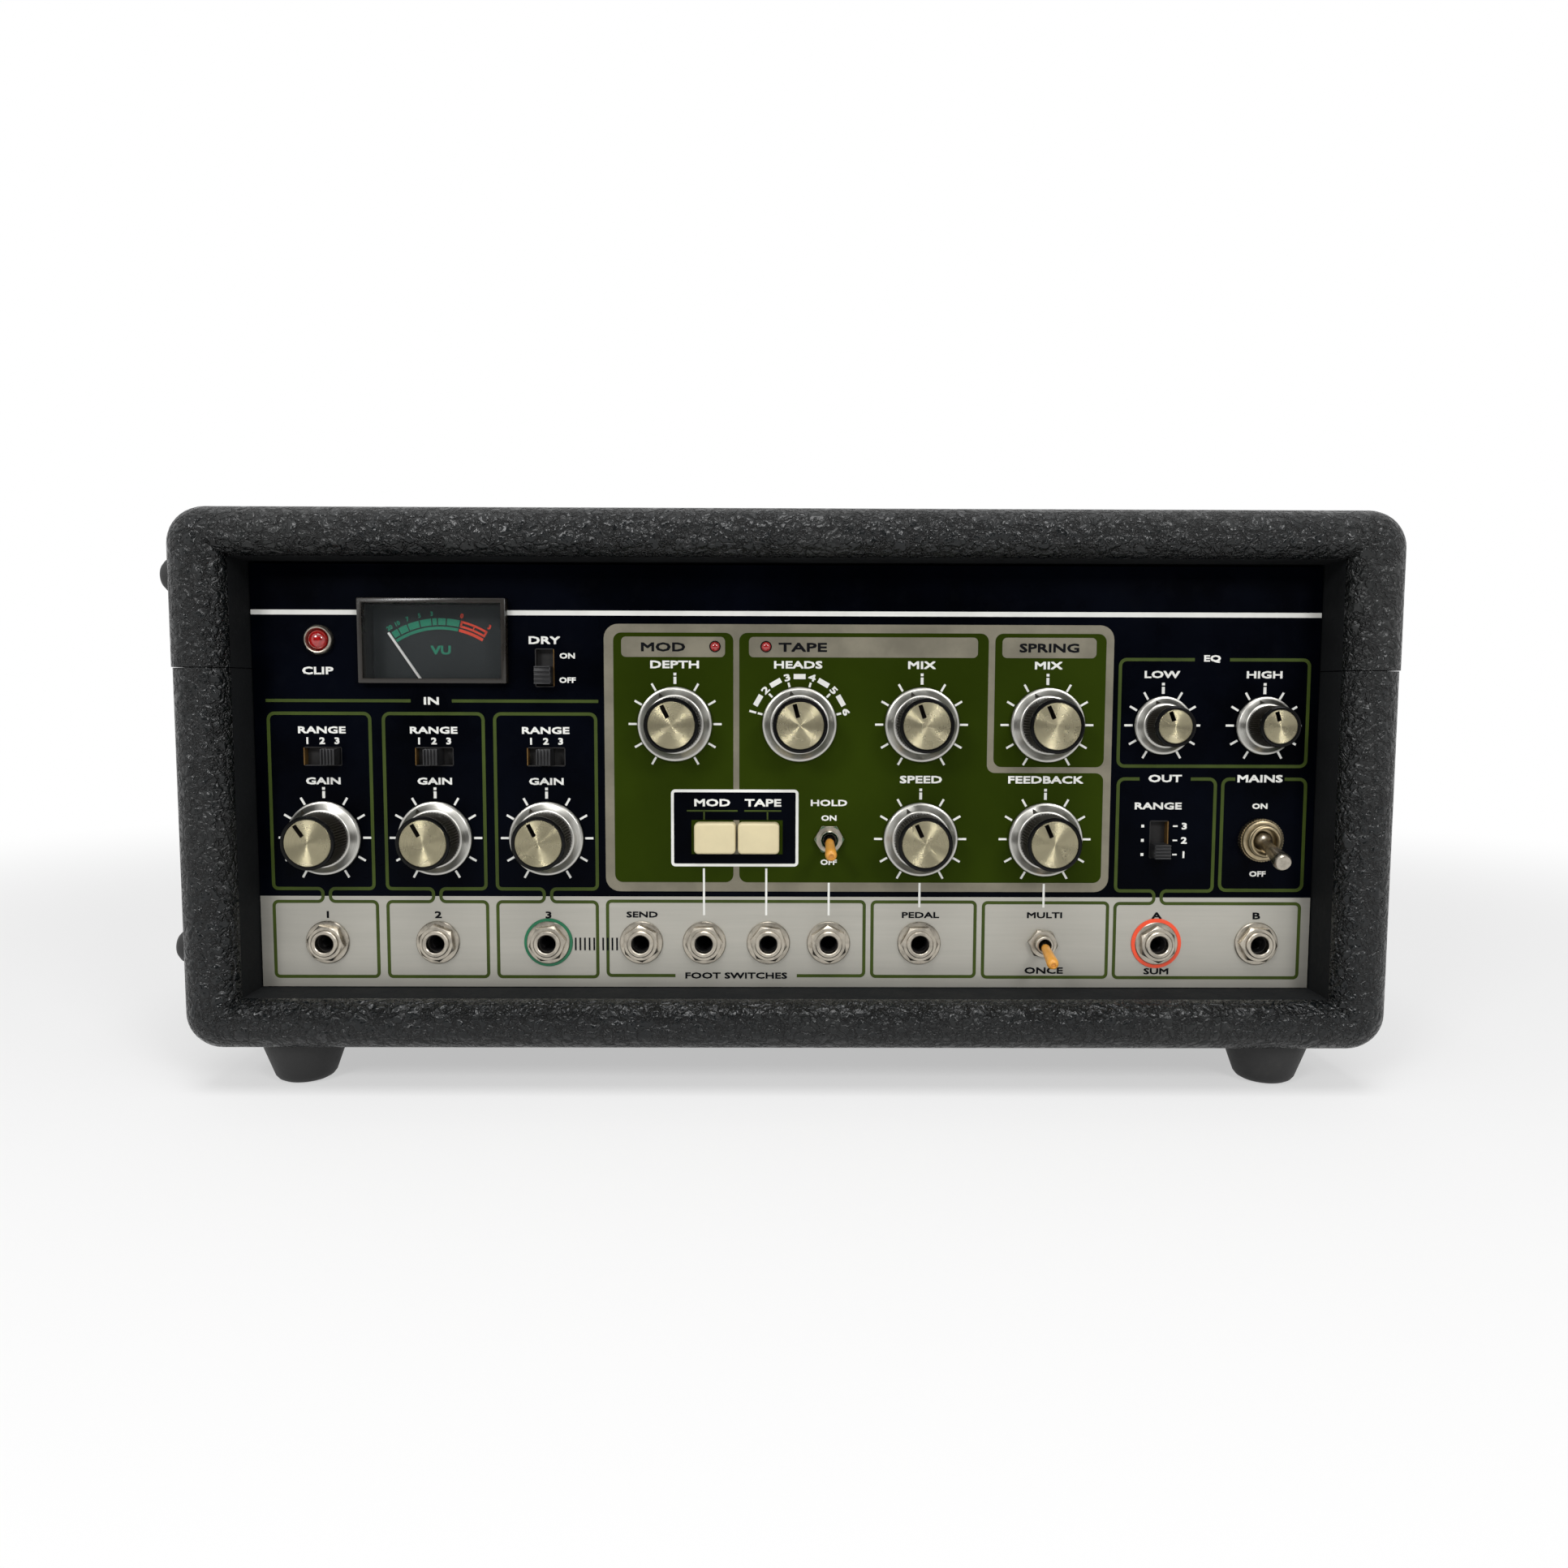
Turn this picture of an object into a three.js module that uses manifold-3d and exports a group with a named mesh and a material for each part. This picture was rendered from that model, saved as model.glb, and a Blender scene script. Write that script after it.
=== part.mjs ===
// A tape echo unit in a leatherette case: front panel with its controls, and a tape deck under the lid.
// Millimetres, +Z up, the front faces -Y, the four feet stand on Z = 0.
import * as THREE from 'three';
import { mergeVertices } from 'three/addons/utils/BufferGeometryUtils.js';
import Module from 'manifold-3d';

// Case boards and outline
const caseWidth = 415;
const caseHeight = 185;
const caseDepth = 295;
const sideBoard = 19.5;
const bottomBoard = 17.5;
const topBoard = 16.5;
const rearBoard = 12;
const caseCornerRadius = 13;
const rimOuterRadius = 9;
const rimInnerRadius = 7;
const cavityCornerRadius = 1;
const seamShare = 0.7081081081;
const lidOverhang = 0.5;
const seamHeight = seamShare * caseHeight;

// Clearances
const seatGap = 0.3;
const overrun = 1;
const mergeDistance = 0.001;

// Feet
const footHeight = 16;
const footTopRadius = 15;
const footBottomRadius = 10;
const footEdgeRadius = 4;
const footInset = 33.5;
const footSetback = 25;
const sideFootRadius = 7;
const sideFootReach = 8;
const sideFootFlatRadius = 3;
const sideFootWallShare = 0.4;
const upperSideFootHeight = 163;
const lowerSideFootHeight = 33;
const sideFootSetback = 20.5;

// Rear hinge
const hingeLength = 300;
const hingeKnuckles = 7;
const knuckleRadius = 3.2;
const knuckleGap = 0.4;
const hingePinRadius = 1.4;
const leafWidth = 20;
const leafThickness = 1.2;

// Handle in the right side
const dishLength = 128;
const dishHeight = 62;
const dishDepth = 16.5;
const dishWall = 2;
const dishFlange = 6;
const dishFlangeThickness = 1.2;
const dishCornerRadius = 6;
const dishCentreHeight = 66;
const bailLength = 110;
const bailDrop = 36;
const bailRise = 5;
const bailArmWidth = 11;
const gripWidth = 10;
const bailThickness = 8;
const bailEdge = 2;
const bailAxisRise = 16;
const bailAxisDepth = 6.3;
const bailPinRadius = 2.5;

// Back panel and cord gland
const backPanelWidth = 300;
const backPanelHeight = 84;
const backPanelThickness = 1.5;
const backPanelRadius = 6;
const backPanelLip = 8;
const backPanelCentre = 66;
const ventLength = 46;
const ventHeight = 3;
const ventPitch = 8;
const ventCount = 6;
const ventSpreadShare = 0.2067;
const glandShare = -0.4;
const glandReach = 6;
const glandFlangeRadius = 9;
const glandFlangeThickness = 2;
const glandNeckRadius = 6.5;
const glandBoreRadius = 3.4;
const glandTail = 9;

// Front panel
const recess = 22;
const panelSideGap = 0.5;
const panelTopGap = 1;
const panelThickness = 2;

const panelHeight = caseHeight - bottomBoard - topBoard - panelTopGap;
const panelHalf = caseWidth / 2 - sideBoard - panelSideGap;

// Columns of the front, from its middle, and rows, from its lower edge
const columnInput1Share = -0.8736;
const columnInput2Share = -0.664;
const columnInput3Share = -0.4539;
const columnSendShare = -0.2768;
const columnPedal1Share = -0.1568;
const columnPedal2Share = -0.0347;
const columnPedal3Share = 0.08;
const columnDepthShare = -0.2107;
const columnModeShare = 0.0229;
const columnRateShare = 0.2528;
const columnReverbShare = 0.4891;
const columnOutputAShare = 0.7067;
const columnOutputBShare = 0.8981;
const columnLedLeftShare = -0.1355;
const columnLedRightShare = -0.04;
const columnMeterShare = -0.6592;
const columnDirectShare = -0.4544;
const columnButtonsShare = -0.0944;
const rowJackShare = 0.11;
const rowLowerKnobShare = 0.36;
const rowUpperKnobShare = 0.6307;
const rowLevelSwitchShare = 0.5527;
const rowDirectSwitchShare = 0.7613;
const rowButtonShare = 0.3633;
const rowIndicatorShare = 0.812;
const rowPeakLampShare = 0.8247;
const rowMeterShare = 0.8227;
const column = {
  input1: columnInput1Share * panelHalf,
  input2: columnInput2Share * panelHalf,
  input3: columnInput3Share * panelHalf,
  send: columnSendShare * panelHalf,
  pedal1: columnPedal1Share * panelHalf,
  pedal2: columnPedal2Share * panelHalf,
  pedal3: columnPedal3Share * panelHalf,
  depth: columnDepthShare * panelHalf,
  mode: columnModeShare * panelHalf,
  rate: columnRateShare * panelHalf,
  reverb: columnReverbShare * panelHalf,
  outputA: columnOutputAShare * panelHalf,
  outputB: columnOutputBShare * panelHalf,
  ledLeft: columnLedLeftShare * panelHalf,
  ledRight: columnLedRightShare * panelHalf,
  meter: columnMeterShare * panelHalf,
  direct: columnDirectShare * panelHalf,
  buttons: columnButtonsShare * panelHalf,
};
const row = {
  jack: rowJackShare * panelHeight,
  lowerKnob: rowLowerKnobShare * panelHeight,
  upperKnob: rowUpperKnobShare * panelHeight,
  levelSwitch: rowLevelSwitchShare * panelHeight,
  directSwitch: rowDirectSwitchShare * panelHeight,
  button: rowButtonShare * panelHeight,
  indicator: rowIndicatorShare * panelHeight,
  peakLamp: rowPeakLampShare * panelHeight,
  meter: rowMeterShare * panelHeight,
};

// Knobs, all with a rest angle that the photographed pointers show, in degrees to the left of the top
const knobRestAngles = [35, 29, 27, 26, 15, 19, 24, 25, 24, 20, 16];
const knobSkirtRadius = 13.15;
const knobBodyRadius = 9.6;
const knobCapRadius = 8.1;
const smallSkirtRadius = 10.3;
const smallBodyRadius = 7.2;
const smallCapRadius = 6;
const skirtLift = 0.8;
const skirtEdge = 1.1;
const skirtHeight = 3.4;
const knobHeight = 16;
const smallKnobHeight = 14.4;
const capRise = 0.6;
const knobTeeth = 14;
const toothDepth = 0.5;
const pointerWidth = 0.9;
const pointerDepth = 0.5;
const pointerStartShare = 0.33;
const shaftRadius = 3;

// Boards behind the panel
const boardThickness = 1.6;
const controlBoardSetback = 18;
const controlBoardMargin = 6;
const controlBoardGap = 3.5;
const controlBoardLowShare = 0.28;
const controlBoardStepShare = 0.7133;
const controlBoardTopShare = 0.8467;
const controlBoardStepColumnShare = 0.6453;
const potRadius = 8;
const potLength = 9;
const potBushRadius = 4.6;
const potBoreDepth = 14;

// Slide switches
const slideWindowLong = 13.6;
const slideWindowShort = 6.8;
const slideCapAcross = 5.8;
const slideCapAlong = 5;
const slideCapReach = 5.3;
const slideTravel = 3.5;
const slideStemAlong = 2.4;
const slideBodyWall = 2;
const slidePocketDepth = 8;
const slideRibs = 4;
const slideGroove = 0.5;
const directTravel = 2.6;
const outputTravel = 3.9;
const directCapAlong = 6.2;

// Push buttons
const buttonWidth = 14.6;
const buttonHeight = 11;
const buttonGap = 0.8;
const buttonReach = 5;
const buttonEdge = 0.9;
const buttonCornerRadius = 1.5;
const buttonTravel = 3;
const buttonTail = 3.2;
const buttonWindowMargin = 1.2;
const plungerWidth = 5;
const plungerHeight = 4;
const plungerLength = 6;

// Toggle switches
const toggleTilt = 15;
const toggleBushRadius = 3.1;
const toggleBushReach = 4.6;
const toggleNut = 5.2;
const toggleNutThickness = 2;
const toggleBallRadius = 2;
const toggleLeverLength = 15.5;
const toggleTipRadius = 2;
const toggleRootRadius = 1.1;
const toggleBodyWidth = 9;
const toggleBodyHeight = 13;
const powerTilt = 17;
const powerBushRadius = 5.8;
const powerNutRadius = 7.8;
const powerNutThickness = 3.2;
const powerBushReach = 6;
const powerBallRadius = 3.6;
const powerLeverLength = 19;
const powerTipRadius = 3;
const powerRootRadius = 1.9;
const powerBodyWidth = 15;
const powerBodyHeight = 30;
const powerBodyDepth = 20;

// Jacks
const jackBoreRadius = 3.2;
const jackSleeveRadius = 4.6;
const jackReach = 4;
const jackWasherRadius = 7.6;
const jackWasherThickness = 0.8;
const jackNutRadius = 6.5;
const jackNutThickness = 2;
const jackBodyWidth = 13;
const jackBodyHeight = 15;
const jackBoreDepth = 26;
const jackBoardSetback = 30;
const jackBoardHeight = 22;
const jackBoardMargin = 9;

// Lamps
const lampRingRadius = 5.2;
const lampLensRadius = 3.4;
const lampShankRadius = 4;
const lampReach = 2;
const lampDome = 1.6;
const lampShankLength = 14;
const ledRadius = 1.65;
const ledReach = 0.9;

// Level meter
const meterWidth = 51.2;
const meterHeight = 29.2;
const meterReach = 3.6;
const meterWall = 1.4;
const meterLip = 1;
const meterDepth = 26;
const meterPivotDrop = 23.9;
const meterPocketDepth = 7.6;
const meterFrontWall = 1.5;
const meterWindowThickness = 1.2;
const meterDialThickness = 0.8;
const needleLength = 32.7;
const needleTail = 2.4;
const needleWidth = 0.8;
const needleThickness = 0.5;
const needleAngle = 34;
const needleHubRadius = 2.2;
const needlePinRadius = 0.8;
const needlePinLength = 6;

// Chassis tray and deck plate
const sheet = 1.5;
const chassisSideGap = 1;
const chassisLip = 12;
const chassisRearGap = 1.5;
const deckDrop = 20;
const deckSetback = 25.5;
const deckRadius = 4;

// Tape transport, from the deck's front edge, its middle and its top face
const tapeThickness = 0.5;
const tapeWidth = 6.35;
const tapeLift = 1.5;
const tapeLine = 48;
const tapeFolds = 10;
const guideRadius = 5;
const guideHeight = 10;
const guideLeftShare = -0.7008;
const guideRightShare = 0.5822;
const chamberFront = 84;
const chamberRearGap = 15;
const chamberSideGap = 18;
const chamberRightShare = 0.7385;
const chamberWall = 2;
const chamberHeight = 11;
const chamberGate = 9;
const foldFrontGap = 26;
const foldRearGap = 20;
const foldSwingShare = 0.8;
const coverThickness = 2;
const coverOverhang = 1;
const coverScrewRadius = 7;
const coverScrewHeight = 5;
const headCount = 5;
const headWidth = 14;
const headDepth = 16;
const headHeight = 14;
const headPitchShare = 0.1456;
const headFirstShare = -0.4744;
const headNose = 4;
const bridgeThickness = 4;
const bridgeMargin = 9;
const bridgeBack = 6;
const capstanShare = 0.4744;
const capstanRadius = 3;
const capstanHeight = 21;
const flywheelRadius = 22;
const flywheelThickness = 8;
const flywheelGap = 2;
const motorRadius = 28;
const motorLength = 44;
const motorPostRadius = 2.4;
const motorBoreDepth = 14;
const rollerRadius = 11;
const rollerLift = 1;
const rollerHeight = 10.2;
const rollerAxleRadius = 1.8;
const armShare = 0.69;
const armSetback = 10;
const armEndRadius = 6;
const armThickness = 3;
const armStudRadius = 2.5;

// Parts on the chassis floor
const mainBoardShare = -0.4278;
const mainBoardWidthShare = 1.016;
const mainBoardFront = 51;
const mainBoardRearGap = 16;
const mainBoardLift = 8;
const standoffRadius = 3;
const capacitorRadius = 8;
const capacitorCount = 3;
const capacitorHeight = 24;
const chipHeight = 4;
const chipWidth = 8;
const chipLength = 20;
const chipCount = 4;
const transformerShare = 0.6524;
const transformerSetback = 61.5;
const coreWidth = 66;
const coreLength = 32;
const coreHeight = 55;
const windingOverhang = 12;
const windingInset = 11;
const transformerFoot = 9;
const tankShare = -0.3743;
const tankLengthShare = 1.07;
const tankSetback = 43.5;
const tankWidth = 58;
const tankHeight = 32;
const tankFlange = 6;
const tankWall = 1.2;

// Numbers of sides of the round forms
const roundSides = 10;
const fineSides = 16;
const footSides = 12;
const smallSides = 8;
const cornerSteps = 3;
const rimSteps = 3;
const arcSteps = 4;
const foldSteps = 6;

// Finishes
const leatherette = { color: '#1c1d1f', roughness: 0.75, metalness: 0 };
const blackRubber = { color: '#141414', roughness: 0.85, metalness: 0 };
const blackPanel = { color: '#06080d', roughness: 0.25, metalness: 0.2 };
const blackPlastic = { color: '#101012', roughness: 0.5, metalness: 0 };
const creamPlastic = { color: '#e6dcc0', roughness: 0.45, metalness: 0 };
const orangePlastic = { color: '#dc9a3c', roughness: 0.5, metalness: 0 };
const clearPlastic = { color: '#dfe8ea', roughness: 0.1, metalness: 0, transparent: true, opacity: 0.3 };
const redLens = { color: '#a01414', roughness: 0.2, metalness: 0 };
const spunMetal = { color: '#b9ae8c', roughness: 0.35, metalness: 1 };
const nickel = { color: '#b7b2a4', roughness: 0.25, metalness: 1 };
const steel = { color: '#9a9c9e', roughness: 0.4, metalness: 1 };
const zincSheet = { color: '#8f9293', roughness: 0.5, metalness: 0.9 };
const blackSheet = { color: '#1b1c1e', roughness: 0.55, metalness: 0.5 };
const boardGreen = { color: '#2f5a35', roughness: 0.6, metalness: 0 };
const boardBrown = { color: '#6a5230', roughness: 0.65, metalness: 0 };
const dialGrey = { color: '#2b2f31', roughness: 0.7, metalness: 0 };
const needleWhite = { color: '#e8e8e2', roughness: 0.5, metalness: 0 };
const tapeBrown = { color: '#3b2a20', roughness: 0.4, metalness: 0 };
const laminated = { color: '#5c5f60', roughness: 0.6, metalness: 0.7 };

const wasm = await Module();
wasm.setup();
const quarterTurn = Math.PI / 2;
const degree = Math.PI / 180;

// Outlines

function circlePoints(radius, sides = roundSides, x = 0, y = 0, turn = 0) {
  const points = [];
  for (let i = 0; i < sides; i++) {
    const angle = turn + (2 * Math.PI * i) / sides;
    points.push(new THREE.Vector2(x + radius * Math.cos(angle), y + radius * Math.sin(angle)));
  }
  return points;
}

// The outline of a hole whose flats clear a round piece of the given radius.
function holePoints(radius, x = 0, y = 0, sides = roundSides) {
  return circlePoints((radius + seatGap) / Math.cos(Math.PI / sides), sides, x, y);
}

function roundedPoints(width, height, radius, x = 0, y = 0) {
  const points = [];
  const cornerSigns = [[1, 1], [-1, 1], [-1, -1], [1, -1]];
  cornerSigns.forEach(([signX, signY], quarter) => {
    for (let i = 0; i <= cornerSteps; i++) {
      const angle = (quarter + i / cornerSteps) * quarterTurn;
      points.push(new THREE.Vector2(
        x + signX * (width / 2 - radius) + radius * Math.cos(angle),
        y + signY * (height / 2 - radius) + radius * Math.sin(angle),
      ));
    }
  });
  return points;
}

function rectanglePoints(width, height, x = 0, y = 0) {
  return [[1, 1], [-1, 1], [-1, -1], [1, -1]].map(
    ([signX, signY]) => new THREE.Vector2(x + (signX * width) / 2, y + (signY * height) / 2),
  );
}

// Solids

function solidOf(geometry) {
  const bare = geometry.index ? geometry.toNonIndexed() : geometry.clone();
  bare.deleteAttribute('normal');
  bare.deleteAttribute('uv');
  const merged = mergeVertices(bare, mergeDistance);
  return new wasm.Manifold(new wasm.Mesh({
    numProp: 3,
    vertProperties: merged.getAttribute('position').array,
    triVerts: new Uint32Array(merged.index.array),
  }));
}

function prism(points, low, high, holes = []) {
  const options = { depth: high - low, bevelEnabled: false };
  const geometry = new THREE.ExtrudeGeometry(new THREE.Shape(points), options);
  const solid = solidOf(geometry.translate(0, 0, low));
  return holes.reduce((left, hole) => left.subtract(prism(hole, low - overrun, high + overrun)), solid);
}

function slab([left, right], [front, back], [low, high]) {
  const geometry = new THREE.BoxGeometry(right - left, back - front, high - low);
  return solidOf(geometry.translate((left + right) / 2, (front + back) / 2, (low + high) / 2));
}

function disc(radius, low, high, x = 0, y = 0, sides = roundSides) {
  return prism(circlePoints(radius, sides, x, y), low, high);
}

// A profile of [radius, height] pairs turned about the Z axis.
function turned(profile, sides = roundSides) {
  const points = profile.map(([radius, height]) => new THREE.Vector2(radius, height));
  if (THREE.ShapeUtils.area(points) < 0) points.reverse();
  return solidOf(new THREE.LatheGeometry(points, sides).rotateX(quarterTurn));
}

// A closed skin over convex outlines of equal length, each with its height, from the highest down.
function lofted(rings) {
  const count = rings[0].points.length;
  const positions = rings.flatMap(({ points, height }) => points.flatMap(({ x, y }) => [x, y, height]));
  const index = [];
  for (let ring = 0; ring < rings.length - 1; ring++) {
    for (let i = 0; i < count; i++) {
      const upper = ring * count;
      const lower = upper + count;
      const next = (i + 1) % count;
      index.push(upper + i, lower + i, lower + next, upper + i, lower + next, upper + next);
    }
  }
  const last = (rings.length - 1) * count;
  for (let i = 1; i < count - 1; i++) {
    index.push(0, i, i + 1, last, last + i + 1, last + i);
  }
  const geometry = new THREE.BufferGeometry();
  geometry.setAttribute('position', new THREE.Float32BufferAttribute(positions, 3));
  geometry.setIndex(index);
  return solidOf(geometry);
}

function joined(solids) {
  return solids.reduce((whole, solid) => whole.add(solid));
}

function withCuts(solid, cutters) {
  return cutters.reduce((left, cutter) => left.subtract(cutter), solid);
}

function addPiece(group, name, solid, finish, x = 0, y = 0, z = 0) {
  const { vertProperties, triVerts } = solid.getMesh();
  const indexed = new THREE.BufferGeometry();
  indexed.setAttribute('position', new THREE.BufferAttribute(new Float32Array(vertProperties), 3));
  indexed.setIndex(new THREE.BufferAttribute(new Uint32Array(triVerts), 1));
  const geometry = indexed.toNonIndexed();
  geometry.computeVertexNormals();
  const mesh = new THREE.Mesh(geometry, new THREE.MeshStandardMaterial(finish));
  mesh.name = name;
  mesh.position.set(x, y, z);
  group.add(mesh);
  return mesh;
}

function addGroup(parent, x, y, z) {
  const group = new THREE.Group();
  group.position.set(x, y, z);
  parent.add(group);
  return group;
}

// Frames: the case and the front are drawn seen from the front, with Z towards the viewer

const hingeAxisSetback = caseDepth / 2 + seatGap + knuckleRadius;
const leftReach = caseWidth / 2 + lidOverhang + seatGap + sideFootReach;
const rightReach = caseWidth / 2 + seatGap + dishFlangeThickness;
const rearReach = hingeAxisSetback + knuckleRadius;
const panelFaceY = -caseDepth / 2 + recess;
const deckFrontY = panelFaceY + deckSetback;
const deckTopHeight = footHeight + seamHeight - deckDrop;
const panelBottom = footHeight + bottomBoard;
const panelBack = -panelThickness;
const behindPanel = panelBack - seatGap;

const unit = new THREE.Group();
const body = addGroup(unit, (leftReach - rightReach) / 2, (caseDepth / 2 - rearReach) / 2, 0);
const caseFrame = addGroup(body, 0, 0, footHeight + caseHeight / 2);
caseFrame.rotation.x = quarterTurn;
const frontFrame = addGroup(body, 0, panelFaceY, panelBottom);
frontFrame.rotation.x = quarterTurn;
const chassisFloor = panelBottom + seatGap + sheet;
const floorFrame = addGroup(body, 0, panelFaceY + panelThickness, chassisFloor);
const deckFrame = addGroup(body, 0, deckFrontY, deckTopHeight);

// Case

function caseOutline(inset, growth) {
  const width = caseWidth + growth - 2 * inset;
  return roundedPoints(width, caseHeight - 2 * inset, caseCornerRadius - inset);
}

function cavityOutline(outset) {
  const width = caseWidth - 2 * sideBoard + 2 * outset;
  const height = caseHeight - bottomBoard - topBoard + 2 * outset;
  return roundedPoints(width, height, cavityCornerRadius + outset, 0, (bottomBoard - topBoard) / 2);
}

function caseSkin(growth) {
  const rings = [];
  for (let i = 0; i <= rimSteps; i++) {
    const angle = quarterTurn * (1 - i / rimSteps);
    const height = caseDepth / 2 - rimOuterRadius * (1 - Math.sin(angle));
    rings.push({ points: caseOutline(rimOuterRadius * (1 - Math.cos(angle)), growth), height });
  }
  const rear = rings.map(({ points, height }) => ({ points, height: -height })).reverse();
  return lofted([...rings, ...rear]);
}

// The room inside the boards, flared where the front rim is rounded.
function caseCavity() {
  const front = caseDepth / 2;
  const rings = [{ points: cavityOutline(rimInnerRadius), height: front + overrun }];
  for (let i = 0; i <= rimSteps; i++) {
    const angle = quarterTurn * (1 - i / rimSteps);
    const height = front - rimInnerRadius * (1 - Math.sin(angle));
    rings.push({ points: cavityOutline(rimInnerRadius * (1 - Math.cos(angle))), height });
  }
  rings.push({ points: cavityOutline(0), height: rearBoard - front });
  return lofted(rings);
}

const seamY = seamHeight - caseHeight / 2;
const backPanelY = backPanelCentre - caseHeight / 2;
const dishY = dishCentreHeight - caseHeight / 2;

function caseHalf(growth, low, high) {
  const wide = caseWidth + overrun;
  const half = slab([-wide, wide], [low, high], [-caseDepth, caseDepth]);
  return caseSkin(growth).intersect(half).subtract(caseCavity());
}

function buildBase() {
  const rearFace = -caseDepth / 2;
  const rebateFloor = rearFace + backPanelThickness + seatGap;
  const rebate = roundedPoints(
    backPanelWidth + 2 * seatGap, backPanelHeight + 2 * seatGap, backPanelRadius, 0, backPanelY);
  const opening = roundedPoints(
    backPanelWidth - 2 * backPanelLip, backPanelHeight - 2 * backPanelLip, backPanelRadius, 0, backPanelY);
  const inside = caseWidth / 2 - sideBoard - overrun;
  const dishHole = slab(
    [inside, caseWidth / 2 + overrun],
    [dishY - dishHeight / 2 - seatGap, dishY + dishHeight / 2 + seatGap],
    [-dishLength / 2 - seatGap, dishLength / 2 + seatGap]);
  const base = withCuts(caseHalf(0, -caseHeight, seamY), [
    prism(rebate, rearFace - overrun, rebateFloor),
    prism(opening, rearFace - overrun, rearFace + rearBoard + overrun),
    dishHole,
  ]);
  addPiece(caseFrame, 'cabinet_base', base, leatherette);
}

function buildLid() {
  addPiece(caseFrame, 'cabinet_lid', caseHalf(2 * lidOverhang, seamY + seatGap, caseHeight), leatherette);
}

function ventHoles() {
  const holes = [];
  for (const side of [-1, 1]) {
    for (let i = 0; i < ventCount; i++) {
      const y = backPanelY + (i - (ventCount - 1) / 2) * ventPitch;
      const x = side * ventSpreadShare * backPanelWidth;
      holes.push(rectanglePoints(ventLength, ventHeight, x, y));
    }
  }
  return holes;
}

function buildBackPanel() {
  const outline = roundedPoints(backPanelWidth, backPanelHeight, backPanelRadius, 0, backPanelY);
  const glandX = glandShare * backPanelWidth;
  const glandHole = holePoints(glandNeckRadius, glandX, backPanelY);
  const outside = -caseDepth / 2;
  const panel = prism(outline, outside, outside + backPanelThickness, [...ventHoles(), glandHole]);
  addPiece(caseFrame, 'back_panel', panel, blackSheet);
  const flange = seatGap + glandFlangeThickness;
  const gland = turned([
    [glandBoreRadius, -glandTail],
    [glandNeckRadius, -glandTail],
    [glandNeckRadius, seatGap],
    [glandFlangeRadius, seatGap],
    [glandFlangeRadius, flange],
    [glandNeckRadius, flange],
    [glandNeckRadius - glandFlangeThickness, glandReach],
    [glandBoreRadius, glandReach],
    [glandBoreRadius, -glandTail],
  ]);
  const mesh = addPiece(caseFrame, 'cord_gland', gland, blackRubber, glandX, backPanelY, outside);
  mesh.rotation.y = Math.PI;
}

// Feet

function buildFeet() {
  const top = footHeight - seatGap;
  const profile = [[0, top], [footTopRadius, top], [footTopRadius - footEdgeRadius / 2, footHeight / 2]];
  for (let i = 0; i <= 2; i++) {
    const angle = (quarterTurn * i) / 2;
    profile.push([
      footBottomRadius - footEdgeRadius * (1 - Math.cos(angle)),
      footEdgeRadius * (1 - Math.sin(angle)),
    ]);
  }
  profile.push([0, 0]);
  const foot = turned(profile, footSides);
  const x = caseWidth / 2 - footInset;
  const y = caseDepth / 2 - footSetback;
  addPiece(body, 'foot_front_left', foot, blackRubber, -x, -y);
  addPiece(body, 'foot_front_right', foot, blackRubber, x, -y);
  addPiece(body, 'foot_rear_left', foot, blackRubber, -x, y);
  addPiece(body, 'foot_rear_right', foot, blackRubber, x, y);
}

function buildSideFeet() {
  const profile = [[0, 0], [sideFootRadius, 0]];
  for (let i = 0; i <= 3; i++) {
    const angle = (quarterTurn * i) / 3;
    profile.push([
      sideFootFlatRadius + (sideFootRadius - sideFootFlatRadius) * Math.cos(angle),
      sideFootReach * (sideFootWallShare + (1 - sideFootWallShare) * Math.sin(angle)),
    ]);
  }
  profile.push([0, sideFootReach]);
  const foot = turned(profile, smallSides);
  const y = caseDepth / 2 - sideFootSetback;
  const rows = [
    ['lower', lowerSideFootHeight, caseWidth / 2],
    ['upper', upperSideFootHeight, caseWidth / 2 + lidOverhang],
  ];
  for (const [row, height, wall] of rows) {
    for (const [end, side] of [['front', -1], ['rear', 1]]) {
      const name = `side_foot_${row}_${end}`;
      const mesh = addPiece(body, name, foot, blackRubber, -wall - seatGap, side * y, footHeight + height);
      mesh.rotation.y = -quarterTurn;
    }
  }
}

// Rear hinge, drawn in a frame whose X points back, Y up and Z to the right

function sidewaysFrame(x, y, z) {
  const group = addGroup(body, x, y, z);
  group.rotation.set(0, quarterTurn, quarterTurn);
  return group;
}

function hingeLeaf(direction, bore) {
  const pitch = hingeLength / hingeKnuckles;
  const root = knuckleRadius + knuckleGap;
  const across = [-knuckleRadius, leafThickness - knuckleRadius];
  const upright = (from, to) => (direction > 0 ? [from, to] : [-to, -from]);
  const pieces = [slab(across, upright(root, leafWidth), [-hingeLength / 2, hingeLength / 2])];
  const first = direction > 0 ? 1 : 0;
  for (let i = first; i < hingeKnuckles; i += 2) {
    const low = -hingeLength / 2 + i * pitch + knuckleGap / 2;
    const high = low + pitch - knuckleGap;
    const tongue = slab(across, upright(0, root + overrun), [low, high]);
    pieces.push(tongue, disc(knuckleRadius, low, high, 0, 0, smallSides));
  }
  const leaf = joined(pieces);
  const whole = hingeLength + overrun;
  return bore ? leaf.subtract(prism(holePoints(bore, 0, 0, smallSides), -whole, whole)) : leaf;
}

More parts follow.
